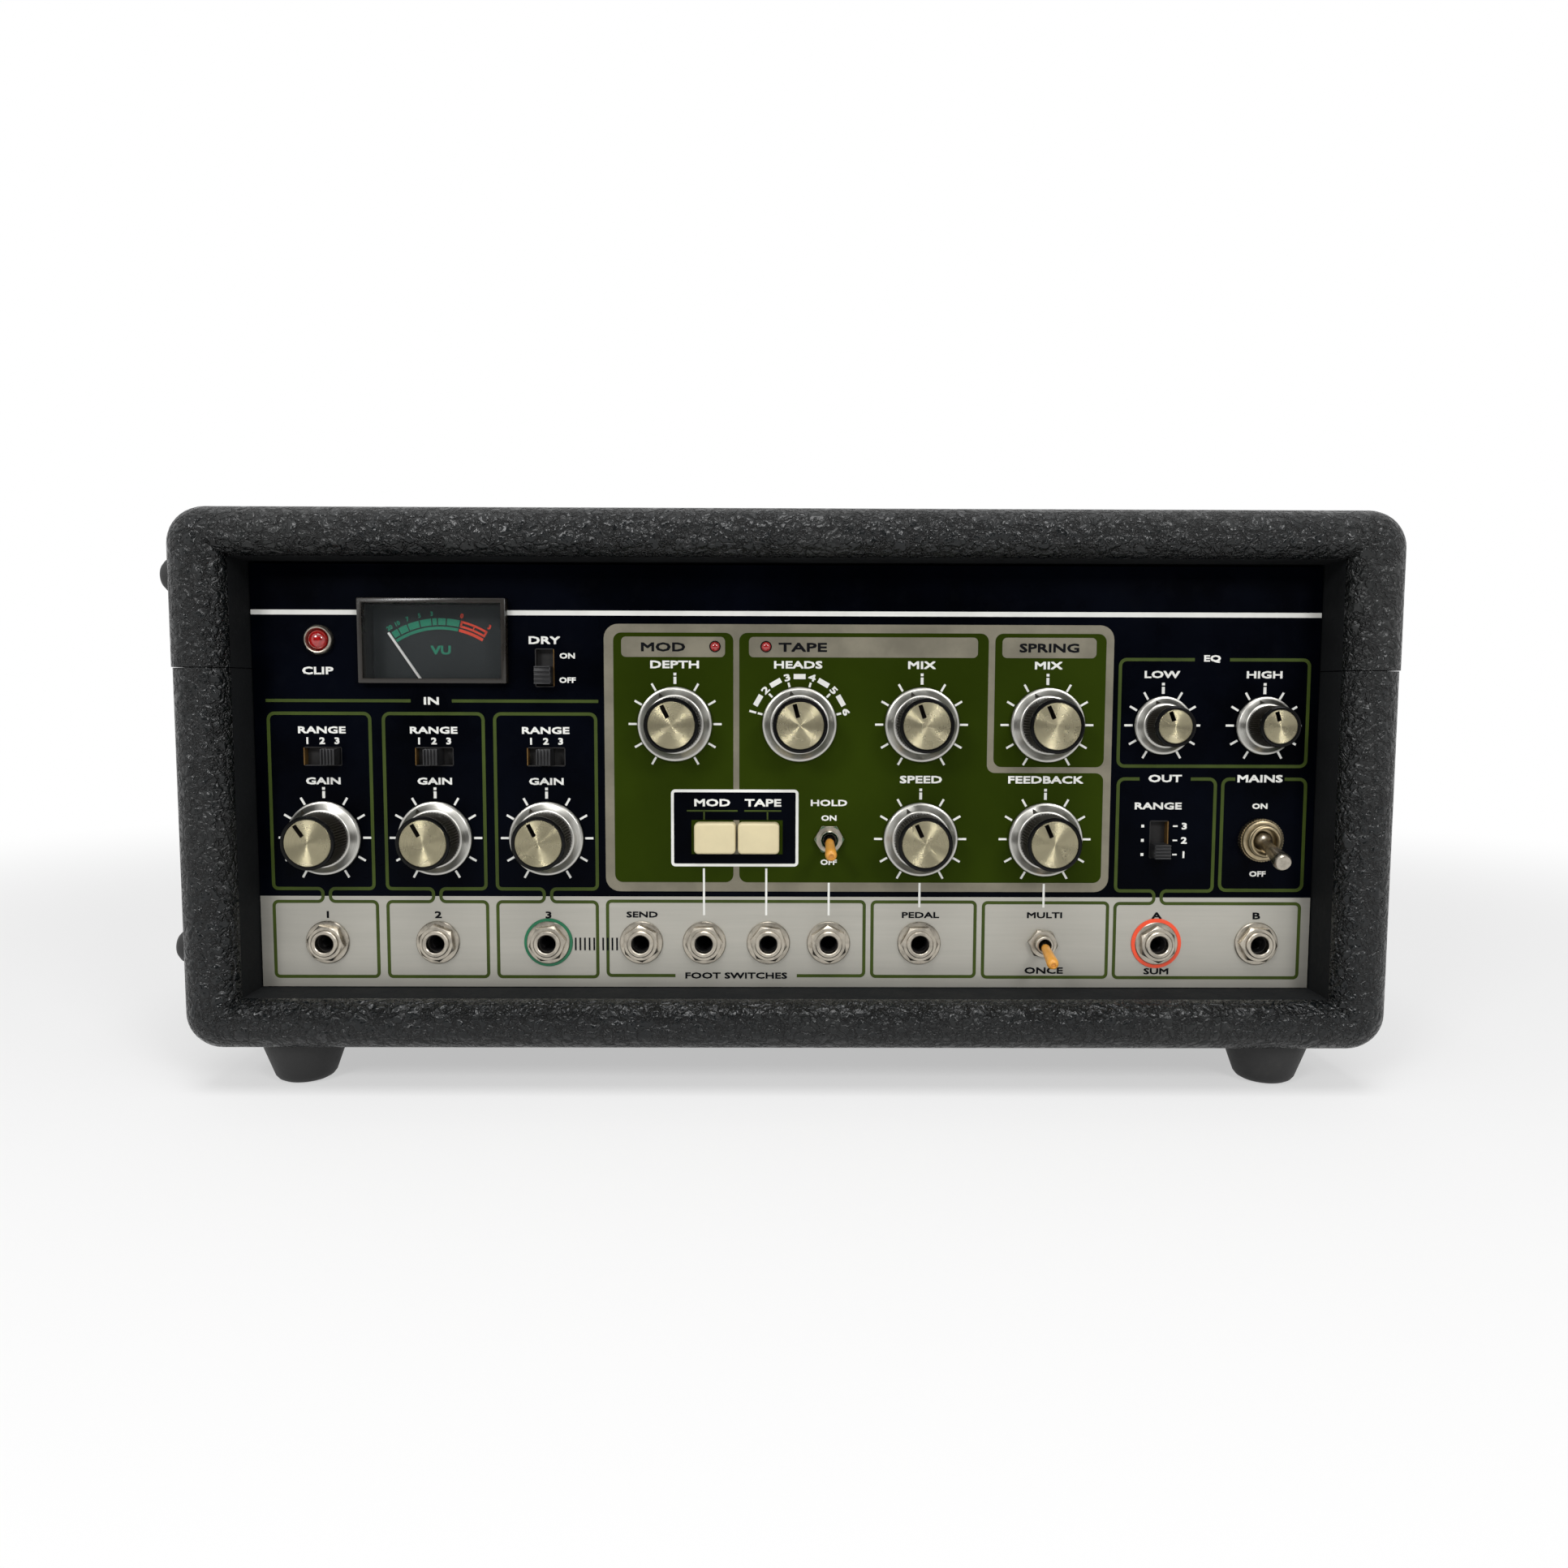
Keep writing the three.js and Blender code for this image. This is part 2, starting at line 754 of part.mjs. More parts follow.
function buildHinge() {
  const frame = sidewaysFrame(0, hingeAxisSetback, footHeight + seamHeight + seatGap / 2);
  const pin = disc(hingePinRadius, -hingeLength / 2, hingeLength / 2, 0, 0, smallSides);
  addPiece(frame, 'hinge_base_leaf', hingeLeaf(-1, 0).add(pin), steel);
  addPiece(frame, 'hinge_lid_leaf', hingeLeaf(1, hingePinRadius), steel);
}

// Handle, in the same kind of frame, on the face of the right side

function buildHandle() {
  const frame = sidewaysFrame(caseWidth / 2, 0, footHeight + dishCentreHeight);
  const flangeFace = seatGap + dishFlangeThickness;
  const flange = roundedPoints(dishLength + 2 * dishFlange, dishHeight + 2 * dishFlange, dishCornerRadius);
  const innerLength = dishLength - 2 * dishWall;
  const inner = roundedPoints(innerLength, dishHeight - 2 * dishWall, dishCornerRadius);
  const floor = -dishDepth + dishWall;
  const tray = withCuts(
    prism(roundedPoints(dishLength, dishHeight, dishCornerRadius), -dishDepth, flangeFace)
      .add(prism(flange, seatGap, flangeFace)),
    [prism(inner, floor, flangeFace + overrun)]);
  const pinHole = rodAlongX(bailPinRadius + seatGap, dishLength, bailAxisRise, -bailAxisDepth);
  addPiece(frame, 'handle_dish', tray.subtract(pinHole), blackPlastic);

  const outer = roundedPoints(
    bailLength, bailDrop + bailRise, bailArmWidth / 2 - overrun, 0, (bailRise - bailDrop) / 2);
  const gapHeight = bailDrop + bailRise - gripWidth + overrun;
  const gapMiddle = gripWidth - bailDrop + gapHeight / 2;
  const gap = rectanglePoints(bailLength - 2 * bailArmWidth, gapHeight, 0, gapMiddle);
  const pinReach = dishLength / 2 - seatGap;
  const pin = rodAlongX(bailPinRadius, pinReach);
  const pinGap = slab(
    [bailArmWidth - bailLength / 2, bailLength / 2 - bailArmWidth],
    [-bailArmWidth, bailArmWidth],
    [-bailThickness, bailThickness]);
  const bail = bevelledPrism(outer, -bailThickness / 2, bailThickness / 2, bailEdge)
    .subtract(prism(gap, -bailThickness, bailThickness))
    .add(pin.subtract(pinGap));
  addPiece(frame, 'handle_bail', bail, blackPlastic, 0, bailAxisRise, -bailAxisDepth);
}

// A prism whose two ends are bevelled by an even edge.
function bevelledPrism(points, low, high, edge) {
  const depth = high - low - 2 * edge;
  const options = { depth, bevelThickness: edge, bevelSize: edge, bevelOffset: -edge, bevelSegments: 2 };
  const geometry = new THREE.ExtrudeGeometry(new THREE.Shape(points), options);
  return solidOf(geometry.translate(0, 0, low + edge));
}

// A rod along X, to the same reach on both sides.
function rodAlongX(radius, reach, y = 0, z = 0) {
  const geometry = new THREE.CylinderGeometry(radius, radius, 2 * reach, smallSides);
  return solidOf(geometry.rotateZ(quarterTurn).translate(0, y, z));
}

// Front panel

const knobs = [
  ['gain_knob_1', column.input1, row.lowerKnob],
  ['gain_knob_2', column.input2, row.lowerKnob],
  ['gain_knob_3', column.input3, row.lowerKnob],
  ['depth_knob', column.depth, row.upperKnob],
  ['mode_knob', column.mode, row.upperKnob],
  ['echo_volume_knob', column.rate, row.upperKnob],
  ['reverb_volume_knob', column.reverb, row.upperKnob],
  ['repeat_rate_knob', column.rate, row.lowerKnob],
  ['repeat_amount_knob', column.reverb, row.lowerKnob],
  ['bass_knob', column.outputA, row.upperKnob],
  ['treble_knob', column.outputB, row.upperKnob],
];
const largeKnobs = 9;
const jackColumns = [
  column.input1, column.input2, column.input3, column.send, column.pedal1, column.pedal2, column.pedal3,
  column.rate, column.outputA, column.outputB,
];
const levelColumns = [column.input1, column.input2, column.input3];
const buttonSpan = 2 * buttonWidth + buttonGap;
const buttonWindow = [buttonSpan + 2 * buttonWindowMargin, buttonHeight + buttonWindowMargin];

function buildPanel() {
  const meterHole = [meterWidth + 2 * seatGap, meterHeight + 2 * seatGap];
  const holes = [
    ...knobs.map(([, x, y]) => holePoints(shaftRadius, x, y, smallSides)),
    ...jackColumns.map((x) => holePoints(jackSleeveRadius, x, row.jack, smallSides)),
    ...levelColumns.map((x) => rectanglePoints(slideWindowLong, slideWindowShort, x, row.levelSwitch)),
    rectanglePoints(slideWindowShort, slideWindowLong, column.direct, row.directSwitch),
    rectanglePoints(slideWindowShort, slideWindowLong, column.outputA, row.lowerKnob),
    rectanglePoints(...buttonWindow, column.buttons, row.button),
    rectanglePoints(...meterHole, column.meter, row.meter),
    holePoints(toggleBushRadius, column.pedal3, row.lowerKnob),
    holePoints(toggleBushRadius, column.reverb, row.jack),
    holePoints(powerBushRadius, column.outputB, row.lowerKnob),
    holePoints(lampShankRadius, column.input1, row.peakLamp),
    holePoints(ledRadius, column.ledLeft, row.indicator, smallSides),
    holePoints(ledRadius, column.ledRight, row.indicator, smallSides),
  ];
  const middle = (panelHeight + seatGap) / 2;
  const outline = rectanglePoints(2 * panelHalf, panelHeight - seatGap, 0, middle);
  addPiece(frontFrame, 'front_panel', prism(outline, panelBack, 0, holes), blackPanel);
}

// Knobs

function knurledOutline(radius) {
  const points = [];
  for (let i = 0; i < 2 * knobTeeth; i++) {
    const reach = i % 2 ? radius : radius - toothDepth;
    const angle = (Math.PI * i) / knobTeeth;
    points.push(new THREE.Vector2(reach * Math.cos(angle), reach * Math.sin(angle)));
  }
  return points;
}

function knobSolid(skirtRadius, bodyRadius, capRadius, height) {
  const shoulder = height - capRise;
  const skirtTop = skirtLift + skirtHeight;
  const skirt = turned([
    [0, skirtLift],
    [skirtRadius, skirtLift],
    [skirtRadius, skirtLift + skirtEdge],
    [bodyRadius + toothDepth, skirtTop],
    [0, skirtTop],
  ], fineSides);
  const cap = turned([
    [0, shoulder - capRise],
    [capRadius, shoulder - capRise],
    [capRadius, height],
    [0, height],
  ], fineSides);
  const pointer = slab(
    [-pointerWidth / 2, pointerWidth / 2],
    [pointerStartShare * capRadius, capRadius - pointerWidth],
    [height - pointerDepth, height + overrun]);
  const shaftEnd = -potBoreDepth + seatGap;
  return joined([
    skirt,
    prism(knurledOutline(bodyRadius), skirtTop - toothDepth, shoulder),
    cap,
    disc(shaftRadius, shaftEnd, skirtLift + skirtEdge, 0, 0, smallSides),
  ]).subtract(pointer);
}

function buildKnobs() {
  const large = knobSolid(knobSkirtRadius, knobBodyRadius, knobCapRadius, knobHeight);
  const small = knobSolid(smallSkirtRadius, smallBodyRadius, smallCapRadius, smallKnobHeight);
  knobs.forEach(([name, x, y], i) => {
    const mesh = addPiece(frontFrame, name, i < largeKnobs ? large : small, spunMetal, x, y);
    mesh.rotation.z = knobRestAngles[i] * degree;
  });
}

// Slide switches

function slideCap(along) {
  const half = along / 2;
  const across = [-slideCapAcross / 2, slideCapAcross / 2];
  const stemEnd = -panelThickness - slidePocketDepth + seatGap;
  const stem = [-slideStemAlong / 2, slideStemAlong / 2];
  const grooves = [];
  for (let i = 1; i < 2 * slideRibs; i += 2) {
    const left = -half + (i * along) / (2 * slideRibs) - slideGroove / 2;
    const depth = [slideCapReach - slideGroove, slideCapReach + overrun];
    grooves.push(slab([left, left + slideGroove], [-slideCapAcross, slideCapAcross], depth));
  }
  return withCuts(
    slab([-half, half], across, [panelBack, slideCapReach]).add(slab(stem, stem, [stemEnd, 0])),
    grooves);
}

function buildSlideCaps() {
  const levelRests = [slideTravel, 0, 0];
  levelColumns.forEach((x, i) => {
    const name = `level_switch_cap_${i + 1}`;
    addPiece(frontFrame, name, slideCap(slideCapAlong), blackPlastic, x + levelRests[i], row.levelSwitch);
  });
  const direct = slideCap(directCapAlong);
  const directMesh = addPiece(frontFrame, 'direct_switch_cap', direct, blackPlastic, column.direct,
    row.directSwitch - directTravel);
  directMesh.rotation.z = quarterTurn;
  const output = slideCap(slideCapAlong);
  const outputMesh = addPiece(frontFrame, 'output_switch_cap', output, blackPlastic, column.outputA,
    row.lowerKnob - outputTravel);
  outputMesh.rotation.z = quarterTurn;
}

// The body behind a slide switch: a box on the board with a pocket for the cap's stem.
function slideBody(width, height, x, y) {
  const wide = width / 2 + slideBodyWall;
  const high = height / 2 + slideBodyWall;
  const pocketEnd = -panelThickness - slidePocketDepth;
  const box = slab([x - wide, x + wide], [y - high, y + high], [-controlBoardSetback, behindPanel]);
  const pocket = prism(rectanglePoints(width, height, x, y), pocketEnd, overrun);
  return [box, pocket];
}

// Push buttons

const plungerPocket = buttonTail + buttonTravel + 2 * seatGap;

function buildButtons() {
  const outline = roundedPoints(buttonWidth, buttonHeight, buttonCornerRadius);
  const cap = bevelledPrism(outline, -buttonTail - buttonEdge, buttonReach, buttonEdge)
    .intersect(prism(outline, -buttonTail, buttonReach));
  const plungerEnd = -buttonTail - plungerLength;
  const plunger = slab(
    [-plungerWidth / 2, plungerWidth / 2],
    [-plungerHeight / 2, plungerHeight / 2],
    [plungerEnd, 0]);
  const button = cap.add(plunger);
  const offset = (buttonWidth + buttonGap) / 2;
  addPiece(frontFrame, 'effect_button_left', button, creamPlastic, column.buttons - offset, row.button);
  addPiece(frontFrame, 'effect_button_right', button, creamPlastic, column.buttons + offset, row.button);
}

function buttonBodies() {
  const boxes = [];
  const pockets = [];
  for (const side of [-1, 1]) {
    const x = column.buttons + (side * (buttonWidth + buttonGap)) / 2;
    const wide = (buttonWidth - buttonGap) / 2;
    const high = buttonHeight / 2;
    const deep = -buttonTail - plungerLength - buttonTravel - seatGap;
    boxes.push(slab(
      [x - wide, x + wide],
      [row.button - high, row.button + high],
      [-controlBoardSetback, -plungerPocket]));
    const pocket = rectanglePoints(plungerWidth + 2 * seatGap, plungerHeight + 2 * seatGap, x, row.button);
    pockets.push(prism(pocket, deep, overrun));
  }
  return [boxes, pockets];
}

// Toggle switches

function toggleLever(ballRadius, rootRadius, tipRadius, length, tail) {
  const profile = [[0, -tail], [rootRadius / 2, -tail]];
  for (let i = 1; i <= arcSteps - 1; i++) {
    const angle = Math.PI * (i / arcSteps) - quarterTurn;
    profile.push([ballRadius * Math.cos(angle), ballRadius * Math.sin(angle)]);
  }
  profile.push([rootRadius, ballRadius + rootRadius]);
  for (let i = 0; i <= arcSteps / 2; i++) {
    const angle = (quarterTurn * i) / (arcSteps / 2);
    profile.push([tipRadius * Math.cos(angle), length - tipRadius * (1 - Math.sin(angle))]);
  }
  return turned(profile, smallSides);
}

// A threaded bush with its nut on the panel and a bore for the lever.
function toggleBush(radius, reach, nut, nutThickness, ballRadius, x, y) {
  const bush = disc(radius, behindPanel - seatGap, reach, x, y);
  const bore = prism(holePoints(ballRadius, x, y), -ballRadius, reach + overrun);
  return [bush.add(nut(x, y, seatGap, seatGap + nutThickness)), bore];
}

const hexNut = (x, y, low, high) => prism(circlePoints(toggleNut, 6, x, y), low, high);
const dressNut = (x, y, low, high) => disc(powerNutRadius, low, high, x, y, fineSides);

function smallToggle(x, y, setback) {
  const [bush, bore] = toggleBush(
    toggleBushRadius, toggleBushReach, hexNut, toggleNutThickness, toggleBallRadius, x, y);
  const box = slab(
    [x - toggleBodyWidth / 2, x + toggleBodyWidth / 2],
    [y - toggleBodyHeight / 2, y + toggleBodyHeight / 2],
    [-setback, behindPanel]);
  return [bush.add(box), bore];
}

function buildToggleLevers() {
  const small = toggleLever(
    toggleBallRadius, toggleRootRadius, toggleTipRadius, toggleLeverLength, toggleBallRadius);
  const smallPivot = toggleBushReach - toggleBallRadius;
  const places = [
    ['hold_toggle_lever', column.pedal3, row.lowerKnob],
    ['delay_toggle_lever', column.reverb, row.jack],
  ];
  for (const [name, x, y] of places) {
    const mesh = addPiece(frontFrame, name, small, orangePlastic, x, y, smallPivot);
    mesh.rotation.x = toggleTilt * degree;
  }
  const large = toggleLever(
    powerBallRadius, powerRootRadius, powerTipRadius, powerLeverLength, powerBallRadius);
  const mesh = addPiece(frontFrame, 'power_toggle_lever', large, nickel, column.outputB, row.lowerKnob,
    powerBushReach - powerBallRadius);
  mesh.rotation.x = powerTilt * degree;
}

function buildPowerToggle() {
  const [bush, bore] = toggleBush(
    powerBushRadius, powerBushReach, dressNut, powerNutThickness, powerBallRadius, 0, 0);
  const box = slab(
    [-powerBodyWidth / 2, powerBodyWidth / 2],
    [-powerBodyHeight / 2, powerBodyHeight / 2],
    [-powerBodyDepth, behindPanel]);
  const solid = bush.add(box).subtract(bore);
  addPiece(frontFrame, 'power_toggle_body', solid, nickel, column.outputB, row.lowerKnob);
}

const meterBodyBottom = -meterPivotDrop - needleHubRadius - needleTail - meterWall;

// Control board: the potentiometers, the switch bodies and one small toggle switch on one board

// The board goes round the meter at its upper left and round the power switch at its lower right.
function controlBoardOutline() {
  const left = controlBoardMargin - panelHalf;
  const right = panelHalf - controlBoardMargin;
  const low = controlBoardLowShare * panelHeight;
  const shoulder = controlBoardStepShare * panelHeight;
  const shoulderX = controlBoardStepColumnShare * panelHalf;
  const top = controlBoardTopShare * panelHeight;
  const meterX = column.meter + meterWidth / 2 + meterLip + controlBoardGap;
  const meterY = row.meter + meterBodyBottom - controlBoardGap;
  const powerX = column.outputB - powerBodyWidth / 2 - 2 * controlBoardGap;
  const powerY = row.lowerKnob + powerBodyHeight / 2 + 2 * controlBoardGap;
  return [
    [left, low],
    [powerX, low],
    [powerX, powerY],
    [right, powerY],
    [right, shoulder],
    [shoulderX, shoulder],
    [shoulderX, top],
    [meterX, top],
    [meterX, meterY],
    [left, meterY],
  ].map(([x, y]) => new THREE.Vector2(x, y));
}

function buildControlBoard() {
  const face = -controlBoardSetback;
  const solids = [prism(controlBoardOutline(), face - boardThickness, face)];
  const pockets = [];
  for (const [, x, y] of knobs) {
    solids.push(disc(potRadius, face, face + potLength, x, y, smallSides));
    solids.push(disc(potBushRadius, face, behindPanel, x, y, smallSides));
    pockets.push(prism(holePoints(shaftRadius, x, y, smallSides), -potBoreDepth, overrun));
  }
  const slides = [
    ...levelColumns.map((x) => slideBody(slideWindowLong, slideWindowShort, x, row.levelSwitch)),
    slideBody(slideWindowShort, slideWindowLong, column.direct, row.directSwitch),
    slideBody(slideWindowShort, slideWindowLong, column.outputA, row.lowerKnob),
  ];
  const [boxes, buttonPockets] = buttonBodies();
  const [toggle, toggleBore] = smallToggle(column.pedal3, row.lowerKnob, controlBoardSetback);
  solids.push(toggle, ...boxes, ...slides.map(([box]) => box));
  pockets.push(toggleBore, ...buttonPockets, ...slides.map(([, pocket]) => pocket));
  addPiece(frontFrame, 'control_board', withCuts(joined(solids), pockets), boardBrown);
}

// Jacks on their board, with the second small toggle switch between them

function jack(x) {
  const nutLow = seatGap + jackWasherThickness;
  const box = slab(
    [x - jackBodyWidth / 2, x + jackBodyWidth / 2],
    [row.jack - jackBodyHeight / 2, row.jack + jackBodyHeight / 2],
    [-jackBoardSetback, behindPanel]);
  return joined([
    box,
    disc(jackSleeveRadius, behindPanel - seatGap, jackReach, x, row.jack, smallSides),
    disc(jackWasherRadius, seatGap, nutLow, x, row.jack),
    prism(circlePoints(jackNutRadius, 6, x, row.jack), seatGap, nutLow + jackNutThickness),
  ]);
}

function buildJackBoard() {
  const face = -jackBoardSetback;
  const left = column.input1 - jackBoardMargin;
  const right = column.outputB + jackBoardMargin;
  const board = slab(
    [left, right],
    [row.jack - jackBoardHeight / 2, row.jack + jackBoardHeight / 2],
    [face - boardThickness, face]);
  const bores = jackColumns.map(
    (x) => disc(jackBoreRadius, -jackBoreDepth, jackReach + overrun, x, row.jack, smallSides));
  const [toggle, toggleBore] = smallToggle(column.reverb, row.jack, jackBoardSetback);
  const solid = joined([board, toggle, ...jackColumns.map(jack)]);
  addPiece(frontFrame, 'jack_board', withCuts(solid, [...bores, toggleBore]), nickel);
}

// Lamps

function buildLamps() {
  const ringFace = seatGap + lampReach;
  const profile = [
    [0, -lampShankLength],
    [lampShankRadius, -lampShankLength],
    [lampShankRadius, seatGap],
    [lampRingRadius, seatGap],
    [lampRingRadius - seatGap, ringFace],
    [lampLensRadius + seatGap, ringFace],
    [lampLensRadius, ringFace - seatGap],
  ];
  for (let i = 1; i <= 3; i++) {
    const angle = (quarterTurn * i) / 3;
    profile.push([lampLensRadius * Math.cos(angle), ringFace - seatGap + lampDome * Math.sin(angle)]);
  }
  addPiece(frontFrame, 'peak_lamp', turned(profile, roundSides), redLens, column.input1, row.peakLamp);
  const ledFoot = seatGap - controlBoardSetback;
  const led = turned([
    [0, ledFoot],
    [ledRadius, ledFoot],
    [ledRadius, 0],
    [ledRadius * Math.cos(quarterTurn / 2), ledReach * Math.sin(quarterTurn / 2)],
    [0, ledReach],
  ], smallSides);
  addPiece(frontFrame, 'led_left', led, redLens, column.ledLeft, row.indicator);
  addPiece(frontFrame, 'led_right', led, redLens, column.ledRight, row.indicator);
}

// Level meter, from the middle of its window

function buildMeter() {
  const frame = addGroup(frontFrame, column.meter, row.meter, 0);
  const halfWidth = meterWidth / 2;
  const halfHeight = meterHeight / 2;
  const insideX = halfWidth - meterWall;
  const insideTop = halfHeight - meterWall;
  const pocketEnd = behindPanel - meterPocketDepth + meterFrontWall;
  const nose = slab([-halfWidth, halfWidth], [-halfHeight, halfHeight], [behindPanel - seatGap, meterReach]);
  const rearBody = slab(
    [-halfWidth - meterLip, halfWidth + meterLip],
    [meterBodyBottom, halfHeight + meterLip],
    [-meterDepth, behindPanel]);
  const windowPocket = slab([-insideX, insideX], [-insideTop, insideTop], [pocketEnd, meterReach + overrun]);
  const dialPocket = slab(
    [-insideX, insideX],
    [meterBodyBottom + meterWall, insideTop],
    [pocketEnd, behindPanel - meterFrontWall]);
  const pinHole = holePoints(needlePinRadius, 0, -meterPivotDrop, smallSides);
  const pinBore = prism(pinHole, pocketEnd - needlePinLength, pocketEnd + needlePinRadius);
  const meterCase = withCuts(nose.add(rearBody), [windowPocket, dialPocket, pinBore]);
  addPiece(frame, 'vu_meter_case', meterCase, blackPlastic);

  const glassX = insideX - seatGap;
  const glassTop = insideTop - seatGap;
  const glassFace = meterReach - seatGap;
  addPiece(frame, 'vu_window', slab(
    [-glassX, glassX],
    [-glassTop, glassTop],
    [glassFace - meterWindowThickness, glassFace]), clearPlastic);

  const dialBack = pocketEnd + seatGap;
  const dialFace = dialBack + meterDialThickness;
  const dialBottom = meterBodyBottom + meterWall + seatGap;
  const dialOutline = rectanglePoints(2 * glassX, glassTop - dialBottom, 0, (glassTop + dialBottom) / 2);
  addPiece(frame, 'vu_dial', prism(dialOutline, dialBack, dialFace, [pinHole]), dialGrey);

  const bladeLow = dialFace + seatGap;
  const blade = slab(
    [-needleWidth / 2, needleWidth / 2],
    [-needleTail - needleHubRadius / 2, needleLength],
    [bladeLow, bladeLow + needleThickness]);
  const hub = disc(needleHubRadius, bladeLow, bladeLow + 2 * needleThickness);
  const pinEnd = pocketEnd - needlePinLength + seatGap;
  const pin = disc(needlePinRadius, pinEnd, bladeLow + needleThickness, 0, 0, smallSides);
  const needle = addPiece(frame, 'vu_needle', joined([blade, hub, pin]), needleWhite, 0, -meterPivotDrop);
  needle.rotation.z = needleAngle * degree;
}

// Chassis tray: a folded sheet with inward lips that carry the deck plate

const chassisHalf = caseWidth / 2 - sideBoard - chassisSideGap;
const chassisTop = deckTopHeight - sheet - seatGap - panelBottom;
const chassisRear = -(caseDepth - recess - rearBoard - chassisRearGap);

function buildChassis() {
  const inner = chassisHalf - sheet;
  const lip = chassisHalf - chassisLip;
  const right = [
    [chassisHalf, seatGap],
    [chassisHalf, chassisTop],
    [lip, chassisTop],
    [lip, chassisTop - sheet],
    [inner, chassisTop - sheet],
    [inner, seatGap + sheet],
  ];
  const left = right.map(([x, y]) => [-x, y]).reverse();
  const outline = [...right, ...left].map(([x, y]) => new THREE.Vector2(x, y));
  const tray = prism(outline, chassisRear, behindPanel);
  const lips = slab([-inner, inner], [chassisTop - sheet - overrun, caseHeight], [-deckSetback, 0]);
  addPiece(frontFrame, 'chassis', tray.subtract(lips), zincSheet);
}

// Deck plate with the tape chamber's walls, the two tape guides and the arm's stud

const deckHalf = chassisHalf - sheet;
const deckWidth = 2 * deckHalf;
const guideLeftX = guideLeftShare * deckHalf;
const guideRightX = guideRightShare * deckHalf;
const chamberRight = chamberRightShare * deckHalf;
const headPitch = headPitchShare * deckHalf;
const headFirstX = headFirstShare * deckHalf;
const capstanX = capstanShare * deckHalf;
const armX = armShare * deckHalf;
const deckLength = caseDepth / 2 - rearBoard - chassisRearGap - deckFrontY - seatGap;
const chamberLeft = chamberSideGap - deckHalf;
const chamberRear = deckLength - chamberRearGap;
const tapeStandOff = seatGap + tapeThickness / 2;
const guideBend = guideRadius + tapeStandOff;
const entryX = guideRightX + guideBend;
const exitX = guideLeftX - guideBend;
const capstanY = tapeLine - tapeStandOff - capstanRadius;
const rollerY = tapeLine + tapeStandOff + rollerRadius;
const armY = tapeLine + armSetback;

function chamberWalls() {
  const width = chamberRight - chamberLeft;
  const length = chamberRear - chamberFront;
  const x = (chamberLeft + chamberRight) / 2;
  const y = (chamberFront + chamberRear) / 2;
  const outer = roundedPoints(width, length, deckRadius + chamberWall, x, y);
  const inner = roundedPoints(width - 2 * chamberWall, length - 2 * chamberWall, deckRadius, x, y);
  const walls = prism(outer, -sheet / 2, chamberHeight, [inner]);
  const gates = [entryX, exitX].map((gate) => slab(
    [gate - chamberGate / 2, gate + chamberGate / 2],
    [chamberFront - overrun, chamberFront + chamberWall + overrun],
    [0, chamberHeight + overrun]));
  return withCuts(walls, gates);
}

function buildDeck() {
  const outline = roundedPoints(deckWidth, deckLength, deckRadius, 0, deckLength / 2);
  const capstanHole = holePoints(capstanRadius + seatGap, capstanX, capstanY);
  const armTop = rollerLift + rollerHeight + seatGap + armThickness;
  const stud = disc(armStudRadius, -sheet / 2, armTop, armX, armY);
  const guides = [guideLeftX, guideRightX].map(
    (x) => disc(guideRadius, -sheet / 2, guideHeight, x, tapeLine + guideBend, fineSides));
  const deck = joined([prism(outline, -sheet, 0, [capstanHole]), chamberWalls(), stud, ...guides]);
  addPiece(deckFrame, 'deck_plate', deck, zincSheet);
}

function buildTapeCover() {
  const width = chamberRight - chamberLeft + 2 * coverOverhang;
  const length = chamberRear - chamberFront + 2 * coverOverhang;
  const x = (chamberLeft + chamberRight) / 2;
  const y = (chamberFront + chamberRear) / 2;
  const low = chamberHeight + seatGap;
  const high = low + coverThickness;
  const sheetSolid = prism(roundedPoints(width, length, deckRadius + chamberWall, x, y), low, high);
  const screws = [chamberLeft, chamberRight].map((edge, i) => disc(
    coverScrewRadius, high - seatGap, high + coverScrewHeight,
    edge + (i ? -1 : 1) * 2 * coverScrewRadius, y, fineSides));
  addPiece(deckFrame, 'tape_cover', joined([sheetSolid, ...screws]), clearPlastic);
}

// The tape's middle line: along the heads, round the right guide, to and fro in the chamber, and back.
function tapePath() {
  const points = [];
  const arc = (x, y, radius, from, to, steps) => {
    for (let i = 0; i <= steps; i++) {
      const angle = from + ((to - from) * i) / steps;
      points.push(new THREE.Vector2(x + radius * Math.cos(angle), y + radius * Math.sin(angle)));
    }
  };
  arc(guideRightX, tapeLine + guideBend, guideBend, -quarterTurn, 0, arcSteps);
  const pitch = (entryX - exitX) / (tapeFolds - 1);
  const turnRadius = pitch / 2;
  const rearTurn = chamberRear - foldRearGap;
  const frontTurn = chamberFront + foldFrontGap;
  for (let fold = 0; fold < tapeFolds - 1; fold++) {
    const x = entryX - fold * pitch - turnRadius;
    const swing = foldSwingShare * turnRadius * Math.sin(2 * fold);
    if (fold % 2) arc(x, frontTurn + swing, turnRadius, 0, -Math.PI, foldSteps);
    else arc(x, rearTurn - turnRadius + swing, turnRadius, 0, Math.PI, foldSteps);
  }
  arc(guideLeftX, tapeLine + guideBend, guideBend, Math.PI, 3 * quarterTurn, arcSteps);
  return points;
}

// The outline at an even distance beside a closed line of points.
function besideLoop(points, distance) {
  return points.map((point, i) => {
    const before = points[(i + points.length - 1) % points.length];
    const after = points[(i + 1) % points.length];
    const arriving = point.clone().sub(before).normalize();
    const leaving = after.clone().sub(point).normalize();
    const along = arriving.clone().add(leaving).normalize();
    const reach = distance / along.dot(leaving);
    return new THREE.Vector2(point.x + along.y * reach, point.y - along.x * reach);
  });
}

